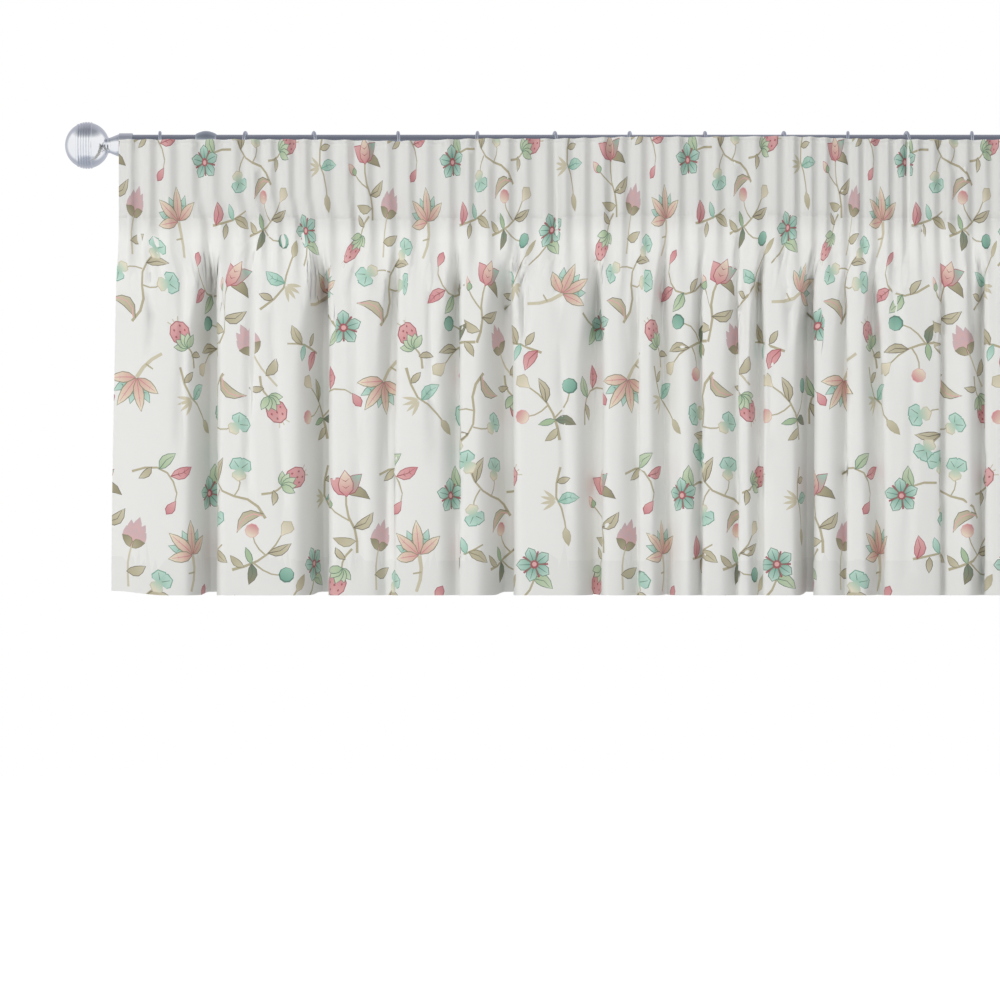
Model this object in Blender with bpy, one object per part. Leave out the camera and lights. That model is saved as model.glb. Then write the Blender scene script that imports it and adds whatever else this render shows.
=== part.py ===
"""A gathered window valance hanging by rings and hooks from a curtain rod.

The origin is where the left bracket's arm meets the wall, on the back of its plate. X runs along the
rod to the right, Y into the wall and Z up, so the room is at -Y. Lengths are metres; tables are
millimetres.
"""
import math

import bmesh
import bpy
import numpy as np

MM = 0.001
GAP = 0.0003                    # clearance between pieces that touch

# Rod, finials and brackets
ROD_RADIUS = 0.0095
ROD_STANDOFF = 0.085            # wall to the rod's axis
BRACKET_SPAN = 1.021            # between the two brackets
ROD_OVERHANG = 0.0764           # from each bracket to the rod's end
ROUND_SIDES = 24
FINIAL_SIDES = 16
ARM_SIDES = 8
BALL_RADIUS = 0.0202
BALL_HALF_LENGTH = 0.0196       # along the rod
BALL_OUT = 0.0282               # from the rod's end to the ball's middle
BAND_START, BAND_END = -0.0092, 0.0047  # grooved band on the ball, from its middle along the rod
BAND_RAISE = 0.0004
NECK_RADIUS = 0.0064
CONE_RADIUS = 0.0098
SLEEVE_RADIUS = 0.0108
SLEEVE_LENGTH = 0.0120
CUP_HALF_WIDTH = 0.0092
CUP_RADIUS = 0.0128
CUP_RIM_RADIUS = 0.0102
ARM_RADIUS = 0.0055
PLATE_HALF_WIDTH = 0.012
PLATE_TOP, PLATE_BOTTOM = 0.0125, -0.0475   # above and below the rod's axis
PLATE_THICKNESS = 0.005
PLATE_STEPS = 6                 # sides of each of its round ends
PLATE_BEVEL = 0.0012

# Rings and hooks
RING_WIRE_RADIUS = 0.0014
RING_INNER_RADIUS = 0.0140
RING_GAP = 0.0005
RING_STEPS = 12
WIRE_SIDES = 4
EYE_WIRE_RADIUS = 0.0008
EYE_INNER_RADIUS = 0.0026
EYE_SINK = 0.0012               # how far the eye's wire is let into the ring
EYE_STEPS = 8
HOOK_WIRE_RADIUS = 0.0007

# Cloth
CLOTH_TOP = 0.0038              # above the rod's axis
CLOTH_DROP = 0.397
CLOTH_THICKNESS = 0.0014
HEM_THICKNESS = 0.0024
HEM_DEPTH = 0.0305
END_REACH = 0.0348              # from the end rings to the cloth's side edges
END_FLARE = 0.0055              # how far each side edge drifts outwards by the hem
CORNER_LIFT = 0.004             # rise of the hem at each side edge
CORNER_WIDTH = 0.048
HEM_DIP = 0.0026                # how much lower the ridges hang than the deep valleys
HEADING_DEPTH = 0.0725
PLEATS_PER_GAP = 4              # gathered pleats between two rings
END_PLEATS = 2                  # gathered pleats outside the end rings
PLEAT_SWING = 0.0025            # half the depth of a pleat
PLEAT_FLANK = -0.35             # swing of the points between a pleat's crest and its hollows
PLEAT_UNEVEN = 0.45             # share by which pleats differ in depth
PLEAT_WANDER = 0.0011           # how far pleats stand off an even spacing
RING_CLEARANCE = 0.002          # cloth and tape stay this far in front of the rings
CREST_FORWARD = 0.011           # how far the skirt's ridges stand in front of the heading
RIDGE_CROWN = 0.003             # how far a ridge's middle bulges
SKIRT_ROWS = (0.092, 0.120, 0.165, 0.260)   # depths of the points between heading and hem
FOLD_OPEN = 0.050               # depth below the heading over which the folds open
FOLD_NARROW = 0.35              # share of its width that a valley has where it opens
FOLD_EASE = 0.15                # how rounded the bottom of a valley is
PLEAT_FADE = 0.060              # depth below the heading over which the pleats run out
FOLD_UNDER_PLEATS = 0.6         # share by which the folds stay under their own pleats

# Heading tape
TAPE_THICKNESS = 0.0009
TAPE_TOP, TAPE_BOTTOM = 0.004, 0.0715    # below the cloth's top edge

# Rings: place along the rod, turn about the vertical in degrees, lift of the cloth's top there
RING_COLUMNS = ("x", "turn", "lift")
RINGS = (
    (-40.6, 3, 0.0),
    (34.8, -5, 0.0),
    (94.9, 8, 0.0),
    (169.1, 4, -1.6),
    (239.2, -3, 0.8),
    (307.3, 6, 0.6),
    (373.4, -7, 2.4),
    (439.5, 3, 2.2),
    (508.9, 5, 3.0),
    (565.6, -4, 0.8),
    (617.1, 7, 0.0),
    (674.7, -2, -0.4),
    (738.5, 5, 0.4),
    (801.5, -6, 1.4),
    (870.5, 3, 0.0),
    (932.0, 6, -0.8),
    (998.0, -4, 0.6),
    (1062.0, 2, 0.0),
)

# Valleys between the skirt's ridges: place of the bottom, its drift by the hem, the depth where
# the valley opens, how wide its left slope, its floor and its right slope are, and how deep it is
# at a third, at two thirds and at the hem
VALLEY_COLUMNS = ("x", "drift", "start", "left", "floor", "right", "upper", "lower", "hem")
VALLEYS = (
    (5, -1, 76, 17, 2, 9, 32, 31, 38),
    (105, -6, 82, 15, 9, 8, 34, 34, 40),
    (165, -8, 76, 14, 4, 10, 16, 11, 8),
    (221, 0, 76, 14, 2, 9, 22, 15, 18),
    (257, -4, 84, 17, 3, 16, 25, 25, 36),
    (344, -2, 88, 19, 1, 13, 27, 21, 23),
    (399, 10, 76, 19, 2, 24, 20, 17, 28),
    (487, -2, 76, 15, 0, 11, 21, 11, 9),
    (525, -1, 88, 15, 3, 11, 26, 25, 38),
    (583, 10, 90, 16, 0, 14, 20, 17, 21),
    (649, 0, 90, 12, 0, 10, 5, 5, 10),
    (692, 0, 80, 15, 0, 13, 19, 16, 19),
    (739, 3, 82, 17, 3, 10, 27, 26, 34),
    (795, -3, 92, 17, 0, 13, 19, 18, 24),
    (856, 4, 78, 17, 5, 10, 30, 27, 34),
    (915, -2, 90, 16, 0, 14, 17, 14, 14),
    (968, 3, 84, 17, 2, 12, 26, 26, 36),
    (1029, 2, 88, 18, 0, 13, 20, 18, 26),
)
VALLEY_DEPTHS = (0.165, 0.280, CLOTH_DROP)   # where upper, lower and hem are measured
VALLEY_SHALLOW, VALLEY_DEEP = 0.016, 0.034   # where the hem starts and ends rising into a valley


def column(table, names, name):
    """One named column of a table, as an array in the table's own unit."""
    place = names.index(name)
    return np.array([row[place] for row in table], dtype=float)


RING_X = column(RINGS, RING_COLUMNS, "x") * MM
RING_TURN = column(RINGS, RING_COLUMNS, "turn")
TOP_LIFT = column(RINGS, RING_COLUMNS, "lift") * MM
RING_DROP = RING_INNER_RADIUS - ROD_RADIUS - RING_GAP    # ring's middle below the rod's axis
RING_REACH = RING_INNER_RADIUS + 2 * RING_WIRE_RADIUS
PLEAT_COUNT = PLEATS_PER_GAP * (len(RINGS) - 1) + 2 * END_PLEATS
COLUMNS_PER_PLEAT = 4
COLUMN_COUNT = COLUMNS_PER_PLEAT * PLEAT_COUNT + 1
QUARTER_PLEAT = np.min(np.diff(RING_X)) / PLEATS_PER_GAP / COLUMNS_PER_PLEAT - PLEAT_WANDER
PLEAT_MITRE = math.hypot(QUARTER_PLEAT, (1.0 - PLEAT_FLANK) * PLEAT_SWING) / QUARTER_PLEAT
TAPE_FRONT = CLOTH_THICKNESS / 2 + GAP
TAPE_BACK = TAPE_FRONT + TAPE_THICKNESS
HEADING_Y = (
    -ROD_STANDOFF - RING_REACH - RING_CLEARANCE - TAPE_BACK * PLEAT_MITRE - PLEAT_SWING
)
HEM_LINE = CLOTH_DROP - HEM_DEPTH
CLOTH_LEFT = RING_X[0] - END_REACH
CLOTH_RIGHT = RING_X[-1] + END_REACH


def smooth(value):
    """A soft step from 0 to 1, flat at both ends."""
    t = np.clip(value, 0.0, 1.0)
    return t * t * (3.0 - 2.0 * t)


# Finishes

def finish(name, colour, roughness, metallic=0.0):
    material = bpy.data.materials.new(name)
    material.use_nodes = True
    shader = material.node_tree.nodes["Principled BSDF"]
    shader.inputs["Base Color"].default_value = (*colour, 1.0)
    shader.inputs["Roughness"].default_value = roughness
    shader.inputs["Metallic"].default_value = metallic
    material.diffuse_color = (*colour, 1.0)
    return material


# Solids

def new_object(name, data, material):
    obj = bpy.data.objects.new(name, data)
    bpy.context.scene.collection.objects.link(obj)
    if material is not None and not data.materials:
        data.materials.append(material)
    return obj


def mesh_from(bm, name):
    bmesh.ops.remove_doubles(bm, verts=bm.verts, dist=1e-6)
    bmesh.ops.recalc_face_normals(bm, faces=bm.faces)
    mesh = bpy.data.meshes.new(name)
    bm.to_mesh(mesh)
    bm.free()
    mesh.shade_smooth()
    mesh.set_sharp_from_angle(angle=math.radians(35))
    return mesh


def turned(name, profile, steps=ROUND_SIDES, axis=(1, 0, 0), centre=(0, 0, 0), closed=False):
    """Spin a profile of (along, out, 0) points once round an axis."""
    bm = bmesh.new()
    verts = [bm.verts.new(point) for point in profile]
    edges = [bm.edges.new(pair) for pair in zip(verts, verts[1:])]
    if closed:
        edges.append(bm.edges.new((verts[-1], verts[0])))
    bmesh.ops.spin(
        bm, geom=verts + edges, cent=centre, axis=axis,
        angle=math.tau, steps=steps, use_merge=True, use_duplicate=False,
    )
    return mesh_from(bm, name)


def circle(x, y, radius, sides):
    """Closed profile of a wire whose middle is at (x, y)."""
    turn = math.tau / sides
    return [
        (x + radius * math.cos(turn * (i + 0.5)), y + radius * math.sin(turn * (i + 0.5)), 0.0)
        for i in range(sides)
    ]


def joined(name, first, *others):
    """The union of closed meshes, as one mesh."""
    base = bpy.data.objects.new(name + "_base", first)
    bpy.context.scene.collection.objects.link(base)
    helpers = []
    for mesh in others:
        helper = bpy.data.objects.new(name + "_helper", mesh)
        bpy.context.scene.collection.objects.link(helper)
        union = base.modifiers.new("Union", "BOOLEAN")
        union.operation = "UNION"
        union.solver = "EXACT"
        union.object = helper
        helpers.append(helper)
    evaluated = base.evaluated_get(bpy.context.evaluated_depsgraph_get())
    mesh = bpy.data.meshes.new_from_object(evaluated)
    mesh.name = name
    for obj in (base, *helpers):
        bpy.data.objects.remove(obj)
    return mesh


# Rod, finials and brackets

def build_rod(metal):
    left, right = -ROD_OVERHANG, BRACKET_SPAN + ROD_OVERHANG
    profile = [(left, 0, 0), (left, ROD_RADIUS, 0), (right, ROD_RADIUS, 0), (right, 0, 0)]
    rod = new_object("rod", turned("rod", profile), metal)
    rod.location = (0, -ROD_STANDOFF, 0)


def finial_profile():
    """Half outline of a finial that points along -X, with the rod's end at x = 0."""
    middle = -BALL_OUT
    ball = []
    for degrees in (0, 28, 50):
        angle = math.radians(degrees)
        ball.append((middle - BALL_HALF_LENGTH * math.cos(angle), BALL_RADIUS * math.sin(angle)))
    for along in (BAND_START, 0.5 * (BAND_START + BAND_END), BAND_END):
        out = BALL_RADIUS * math.sqrt(1.0 - (along / BALL_HALF_LENGTH) ** 2)
        ball.append((middle + along, out + BAND_RAISE))
    for degrees in (55, 37, 20):
        angle = math.radians(degrees)
        ball.append((middle + BALL_HALF_LENGTH * math.cos(angle), BALL_RADIUS * math.sin(angle)))
    bore = ROD_RADIUS + GAP
    turned_end = [
        (-0.0078, NECK_RADIUS),
        (-0.0004, CONE_RADIUS),
        (-0.0004, SLEEVE_RADIUS - 0.0006),
        (0.0004, SLEEVE_RADIUS),
        (SLEEVE_LENGTH - 0.0006, SLEEVE_RADIUS),
        (SLEEVE_LENGTH, SLEEVE_RADIUS - 0.0006),
        (SLEEVE_LENGTH, bore),
        (-GAP, bore),
        (-GAP, 0.0),
    ]
    return [(x, out, 0.0) for x, out in ball + turned_end]


def build_finials(metal):
    mesh = turned("finial", finial_profile(), steps=FINIAL_SIDES)
    left = new_object("finial_left", mesh, metal)
    left.location = (-ROD_OVERHANG, -ROD_STANDOFF, 0)
    right = new_object("finial_right", mesh, metal)
    right.location = (BRACKET_SPAN + ROD_OVERHANG, -ROD_STANDOFF, 0)
    right.rotation_euler = (0, 0, math.pi)


def plate_mesh(inner, wall):
    """An upright plate with round ends, flat on the wall and bevelled round its front."""
    bm = bmesh.new()
    loops = []
    for y, inset in ((wall, 0.0), (inner + PLATE_BEVEL, 0.0), (inner, PLATE_BEVEL)):
        out = PLATE_HALF_WIDTH - inset
        loop = []
        for centre, start in (
            (PLATE_TOP - PLATE_HALF_WIDTH, 0.0), (PLATE_BOTTOM + PLATE_HALF_WIDTH, math.pi),
        ):
            for i in range(PLATE_STEPS + 1):
                angle = start + math.pi * i / PLATE_STEPS
                spot = (out * math.cos(angle), y, centre + out * math.sin(angle))
                loop.append(bm.verts.new(spot))
        edges = [bm.edges.new((a, b)) for a, b in zip(loop, loop[1:] + loop[:1])]
        loops.append((loop, edges))
    for (_, near), (_, far) in zip(loops, loops[1:]):
        bmesh.ops.bridge_loops(bm, edges=near + far)
    for loop, _ in (loops[0], loops[-1]):
        bm.faces.new(loop)
    return mesh_from(bm, "plate")


def build_brackets(metal):
    bore = ROD_RADIUS + GAP
    shoulder = 0.5 * (CUP_RADIUS + CUP_RIM_RADIUS) + 0.0006
    w = CUP_HALF_WIDTH
    cup_profile = [
        (-w, bore), (-w, CUP_RIM_RADIUS), (-0.6 * w, shoulder), (0, CUP_RADIUS),
        (0.6 * w, shoulder), (w, CUP_RIM_RADIUS), (w, bore),
    ]
    cup = turned("cup", [(x, out, 0.0) for x, out in cup_profile], closed=True)
    start, end = CUP_RADIUS - 0.0012, ROD_STANDOFF - 0.5 * PLATE_THICKNESS
    arm = turned("arm", [
        (0, start, 0), (ARM_RADIUS, start, 0), (ARM_RADIUS, end, 0), (0, end, 0),
    ], steps=ARM_SIDES, axis=(0, 1, 0))
    wall = ROD_STANDOFF
    inner = wall - PLATE_THICKNESS
    mesh = joined("bracket", cup, arm, plate_mesh(inner, wall))
    for name, x in (("bracket_left", 0.0), ("bracket_right", BRACKET_SPAN)):
        bracket = new_object(name, mesh, metal)
        bracket.location = (x, -ROD_STANDOFF, 0)


# Rings and hooks

def eye_drop():
    """Height of the eye's middle below the ring's middle."""
    return RING_REACH - EYE_SINK + EYE_INNER_RADIUS + 2 * EYE_WIRE_RADIUS


def build_rings(metal):
    hoop = turned(
        "hoop", circle(0, RING_INNER_RADIUS + RING_WIRE_RADIUS, RING_WIRE_RADIUS, WIRE_SIDES),
        steps=RING_STEPS, closed=True,
    )
    wire = circle(EYE_INNER_RADIUS + EYE_WIRE_RADIUS, 0, EYE_WIRE_RADIUS, WIRE_SIDES)
    eye = turned(
        "eye", [(out, along, -eye_drop()) for out, along, _ in wire],
        steps=EYE_STEPS, axis=(0, 1, 0), centre=(0, 0, -eye_drop()), closed=True,
    )
    mesh = joined("ring", hoop, eye)
    for number, (x, turn) in enumerate(zip(RING_X, RING_TURN), start=1):
        ring = new_object(f"ring_{number:02d}", mesh, metal)
        ring.location = (x, -ROD_STANDOFF, -RING_DROP)
        ring.rotation_euler = (0, 0, math.radians(turn))


def build_hooks(plastic):
    """Bent wires from the back of the tape's pleats, through the eyes and down behind them."""
    seat = -RING_DROP - eye_drop() - EYE_INNER_RADIUS + GAP + HOOK_WIRE_RADIUS
    reach = RING_REACH + RING_CLEARANCE - HOOK_WIRE_RADIUS
    path = (
        (0.0, seat - 0.027), (0.0, seat - 0.005), (0.003, seat),
        (reach + 0.0025, seat), (reach + 0.0050, seat - 0.0025), (reach + 0.0052, seat - 0.008),
    )
    curve = bpy.data.curves.new("hook", "CURVE")
    curve.dimensions = "3D"
    curve.bevel_depth = HOOK_WIRE_RADIUS
    curve.bevel_resolution = 0
    curve.use_fill_caps = True
    spline = curve.splines.new("POLY")
    spline.points.add(len(path) - 1)
    for point, (y, z) in zip(spline.points, path):
        point.co = (0.0, y, z, 1.0)
    _, tape_backs = tape_rows()
    pleat_backs = tape_backs[0][ring_columns()]
    for number, (x, back) in enumerate(zip(RING_X, pleat_backs), start=1):
        hook = new_object(f"hook_{number:02d}", curve, plastic)
        hook.location = (x, back[1] + GAP + HOOK_WIRE_RADIUS, 0)


# Cloth and tape

def ring_columns():
    """Columns of the cloth that stand at the rings."""
    return COLUMNS_PER_PLEAT * (END_PLEATS + PLEATS_PER_GAP * np.arange(len(RINGS)))


def pleat_wander():
    """How each column differs from an even pleat, from -1 to 1, and 0 at the rings."""
    index = np.arange(COLUMN_COUNT)
    wander = np.sin(0.43 * index) * np.sin(0.157 * index + 0.8)
    off_ring = (index / COLUMNS_PER_PLEAT - END_PLEATS) / PLEATS_PER_GAP
    wander *= np.sin(math.pi * off_ring) ** 2
    wander[[0, -1]] = 0.0
    return wander


def heading_line():
    """Places of the heading's columns, with a hollow at every ring."""
    known = [0, *ring_columns(), COLUMN_COUNT - 1]
    even = np.interp(np.arange(COLUMN_COUNT), known, [CLOTH_LEFT, *RING_X, CLOTH_RIGHT])
    return even + PLEAT_WANDER * pleat_wander()


def pleat_waves():
    """Swing of the heading's points, in front (-) and behind (+), even at the rings."""
    side = np.resize((1.0, PLEAT_FLANK, -1.0, PLEAT_FLANK), COLUMN_COUNT)
    wander = pleat_wander()
    return PLEAT_SWING * side * (1.0 + PLEAT_UNEVEN * np.where(side < 0, wander, -np.abs(wander)))


def valley_places(depth):
    """Where the valleys stand at one depth, with the cloth's two ends."""
    drift = smooth(depth / CLOTH_DROP)
    x = column(VALLEYS, VALLEY_COLUMNS, "x") * MM
    x = x + column(VALLEYS, VALLEY_COLUMNS, "drift") * MM * drift
    flare = END_FLARE * drift
    return np.array([CLOTH_LEFT - flare, *x, CLOTH_RIGHT + flare])


def valley_sizes(depth):
    """How deep each valley is at one depth, and how wide its left slope, floor and right are."""
    sizes = np.stack([column(VALLEYS, VALLEY_COLUMNS, n) * MM for n in ("upper", "lower", "hem")])
    starts = column(VALLEYS, VALLEY_COLUMNS, "start") * MM
    grown = smooth((depth - starts) / FOLD_OPEN)
    deep = np.array([np.interp(depth, VALLEY_DEPTHS, size) for size in sizes.T]) * grown
    spread = FOLD_NARROW + (1.0 - FOLD_NARROW) * smooth((depth - starts) / (2.0 * FOLD_OPEN))
    widths = [
        column(VALLEYS, VALLEY_COLUMNS, name) * MM * spread for name in ("left", "floor", "right")
    ]
    return [np.array([0.0, *values, 0.0]) for values in (deep, *widths)]


def slope(run, width):
    """Height over a valley's bottom, from 0 to 1, steepest at the bottom and level at the top."""
    share = np.clip(run / np.maximum(width, MM), 0.0, 1.0)
    eased = (np.hypot(share, FOLD_EASE) - FOLD_EASE) / (math.hypot(1.0, FOLD_EASE) - FOLD_EASE)
    return 1.0 - (1.0 - eased) ** 2


def skirt_line(phase, depth):
    """Plan of the skirt at one depth, for phases counted in ridges from the left end."""
    places = valley_places(depth)
    deep, left, floor, right = valley_sizes(depth)
    ridge = np.clip(phase.astype(int), 0, len(places) - 2)
    share = phase - ridge
    width = places[ridge + 1] - places[ridge]
    from_left, to_right = share * width, (1.0 - share) * width
    rise = slope(from_left - 0.5 * floor[ridge], right[ridge])
    fall = slope(to_right - 0.5 * floor[ridge + 1], left[ridge + 1])
    sunk = deep[ridge] * (1.0 - rise) + deep[ridge + 1] * (1.0 - fall)
    crown = RIDGE_CROWN * np.sin(math.pi * share) * smooth((depth - HEADING_DEPTH) / FOLD_OPEN)
    return places[ridge] + from_left, HEADING_Y - CREST_FORWARD + sunk - crown


def column_phases():
    """Phase of each column. Columns lie about evenly along the folds, near their own pleats."""
    ridges = len(VALLEYS) + 1
    steps = 200
    fine = np.linspace(0.0, ridges, steps * ridges + 1)
    x, y = skirt_line(fine, VALLEY_DEPTHS[1])
    run = np.concatenate([[0.0], np.cumsum(np.hypot(np.diff(x), np.diff(y)))])
    columns = np.arange(COLUMN_COUNT)
    by_run = run[::steps] * columns[-1] / run[-1]
    by_pleat = np.interp(valley_places(0.0), heading_line(), columns)
    bounds = by_run + FOLD_UNDER_PLEATS * (by_pleat - by_run)
    return np.interp(np.interp(columns, bounds, run[::steps]), run, fine)


def cloth_rows():
    """Depths, and the middle of the cloth's thickness at every column of every row."""
    phases = column_phases()
    head_x = heading_line()
    pleats = pleat_waves()
    top = CLOTH_TOP + np.interp(head_x, RING_X, TOP_LIFT)
    depths = (0.0, HEADING_DEPTH, *SKIRT_ROWS, HEM_LINE, CLOTH_DROP)
    rows = []
    for depth in depths:
        opened = smooth((depth - HEADING_DEPTH) / FOLD_OPEN)
        kept = 1.0 - smooth((depth - HEADING_DEPTH) / PLEAT_FADE)
        fold_x, fold_y = skirt_line(phases, depth)
        x = head_x + (fold_x - head_x) * opened
        y = HEADING_Y + (fold_y - HEADING_Y) * opened + pleats * kept
        ends = np.minimum(x - x[0], x[-1] - x)
        lift = CORNER_LIFT * (1.0 - smooth(ends / CORNER_WIDTH)) * opened
        sunk = fold_y - (HEADING_Y - CREST_FORWARD)
        dip = HEM_DIP * (1.0 - smooth((sunk - VALLEY_SHALLOW) / (VALLEY_DEEP - VALLEY_SHALLOW)))
        fall = depth + (top - CLOTH_TOP + dip) * smooth(depth / CLOTH_DROP)
        rows.append(np.stack([x, y, top - fall + lift], axis=1))
    return depths, rows


def shifted(row, distance):
    """A row moved squarely away from the room by a distance, with mitred corners."""
    run = np.diff(row[:, :2], axis=0)
    run /= np.linalg.norm(run, axis=1)[:, None]
    side = np.stack([-run[:, 1], run[:, 0]], axis=1)
    before = np.vstack([side[:1], side])
    after = np.vstack([side, side[-1:]])
    middle = before + after
    middle /= np.linalg.norm(middle, axis=1)[:, None]
    mitre = np.maximum(0.6, np.sum(middle * after, axis=1))
    moved = row.copy()
    moved[:, :2] += middle * (distance / mitre)[:, None]
    return moved


def sheet(name, fronts, backs, material):
    """A closed sheet between a front and a back grid of points."""
    rows, columns = len(fronts), len(fronts[0])
    bm = bmesh.new()
    front = [[bm.verts.new(point) for point in row] for row in fronts]
    back = [[bm.verts.new(point) for point in row] for row in backs]
    for r in range(rows - 1):
        for c in range(columns - 1):
            for grid, order in ((front, 1), (back, -1)):
                a, b = grid[r][c], grid[r][c + 1]
                d, e = grid[r + 1][c], grid[r + 1][c + 1]
                bm.faces.new((a, d, e)[::order])
                bm.faces.new((a, e, b)[::order])
    for r, order in ((0, 1), (rows - 1, -1)):
        for c in range(columns - 1):
            rim = (front[r][c], front[r][c + 1], back[r][c + 1], back[r][c])
            bm.faces.new(rim[::order])
    for c, order in ((0, -1), (columns - 1, 1)):
        for r in range(rows - 1):
            rim = (front[r][c], front[r + 1][c], back[r + 1][c], back[r][c])
            bm.faces.new(rim[::order])
    bmesh.ops.recalc_face_normals(bm, faces=bm.faces)
    mesh = bpy.data.meshes.new(name)
    bm.to_mesh(mesh)
    bm.free()
    mesh.shade_smooth()
    return new_object(name, mesh, material)


def build_cloth(cotton):
    depths, rows = cloth_rows()
    fronts, backs = [], []
    for depth, row in zip(depths, rows):
        thickness = CLOTH_THICKNESS if depth < HEM_LINE else HEM_THICKNESS
        fronts.append(shifted(row, -0.5 * thickness))
        backs.append(shifted(row, 0.5 * thickness))
    sheet("valance_cloth", fronts, backs, cotton)


def tape_rows():
    """Front and back of the tape, which follows the pleats between the heading's two rows."""
    _, rows = cloth_rows()
    edges = [
        rows[0] + (rows[1] - rows[0]) * (depth / HEADING_DEPTH)
        for depth in (TAPE_TOP, TAPE_BOTTOM)
    ]
    return [[shifted(edge, distance) for edge in edges] for distance in (TAPE_FRONT, TAPE_BACK)]


def build_tape(tape_white):
    fronts, backs = tape_rows()
    sheet("heading_tape", [row[1:-1] for row in fronts], [row[1:-1] for row in backs], tape_white)


def main():
    for obj in list(bpy.data.objects):
        bpy.data.objects.remove(obj, do_unlink=True)
    metal = finish("brushed_chrome", (0.60, 0.62, 0.68), 0.25, 1.0)
    cotton = finish("printed_cotton", (0.83, 0.83, 0.81), 0.85)
    tape_white = finish("woven_tape", (0.80, 0.79, 0.76), 0.90)
    plastic = finish("white_nylon", (0.82, 0.82, 0.80), 0.45)
    build_rod(metal)
    build_finials(metal)
    build_brackets(metal)
    build_rings(metal)
    build_hooks(plastic)
    build_cloth(cotton)
    build_tape(tape_white)


main()
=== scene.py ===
import math

import bpy
import numpy as np
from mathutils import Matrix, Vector
from mathutils.geometry import delaunay_2d_cdt


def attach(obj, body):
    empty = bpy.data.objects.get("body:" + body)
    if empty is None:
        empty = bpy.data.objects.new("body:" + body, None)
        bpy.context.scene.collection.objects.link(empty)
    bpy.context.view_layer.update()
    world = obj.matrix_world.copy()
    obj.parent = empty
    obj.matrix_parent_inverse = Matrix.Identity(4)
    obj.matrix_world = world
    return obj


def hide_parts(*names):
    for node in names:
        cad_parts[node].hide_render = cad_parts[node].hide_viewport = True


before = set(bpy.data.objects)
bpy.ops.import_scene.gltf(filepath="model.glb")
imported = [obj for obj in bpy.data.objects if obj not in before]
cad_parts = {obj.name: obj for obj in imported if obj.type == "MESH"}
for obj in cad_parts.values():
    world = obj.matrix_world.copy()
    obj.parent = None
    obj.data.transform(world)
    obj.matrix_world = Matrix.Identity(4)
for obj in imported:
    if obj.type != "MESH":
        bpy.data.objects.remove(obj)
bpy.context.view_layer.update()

mm = 0.001

# Window valance: origin on the wall at the left bracket, X along the rod, Y into the wall, Z up.

camera = {
    "place": (0.2590, -5.12, -0.3124),
    "distance": 5.0,        # to the front of the cloth
    "width": 0.875,         # what the picture shows there
    "sensor": 36.0,
}

rod = {
    "radius": 0.0095,
    "standoff": 0.085,      # wall to the rod's axis
    "span": 1.021,          # between the brackets
    "overhang": 0.0764,     # from each bracket to the rod's end
    "chamfer": 0.0006,
    "clearance": 0.0003,    # round the rod, inside the finials' sleeves and the brackets' cups
    "sides": 48,
}

finial = {
    "ball": 0.0202,
    "ballHalf": 0.0196,     # half the ball's length along the rod
    "ballOut": 0.0282,      # from the rod's end to the ball's middle
    "bandStart": -0.0092,
    "bandEnd": 0.0047,
    "bandRaise": 0.00045,
    "grooves": 5,
    "groovePitch": 0.00236,
    "grooveDepth": 0.0009,
    "grooveWidth": 0.0011,
    "fillet": 0.0076,       # where the ball runs out into the neck
    "neck": 0.0067,
    "cone": 0.0098,
    "sleeve": 0.0108,
    "sleeveLength": 0.0120,
    "sides": 72,
}

bracket = {
    "halfWidth": 0.0092,
    "middle": 0.0128,
    "rim": 0.0102,
    "arm": 0.0055,
    "plateHalf": 0.012,     # half the plate's width
    "plateTop": 0.0125,     # from the rod's axis
    "plateBottom": -0.0475,
    "plateThickness": 0.005,
    "plateBevel": 0.0012,
    "screw": 0.0030,
    "screwsAt": (-0.021, -0.040),
    "screwSides": 24,
    "sides": 48,
}

ring = {
    "wire": 0.0014,
    "inner": 0.0140,
    "gap": 0.0005,          # between the rod's top and the ring
    "eyeWire": 0.0008,
    "eyeInner": 0.0026,
    "eyeSink": 0.0012,
}

hook = {"wire": 0.0007, "clearance": 0.0003}

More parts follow.
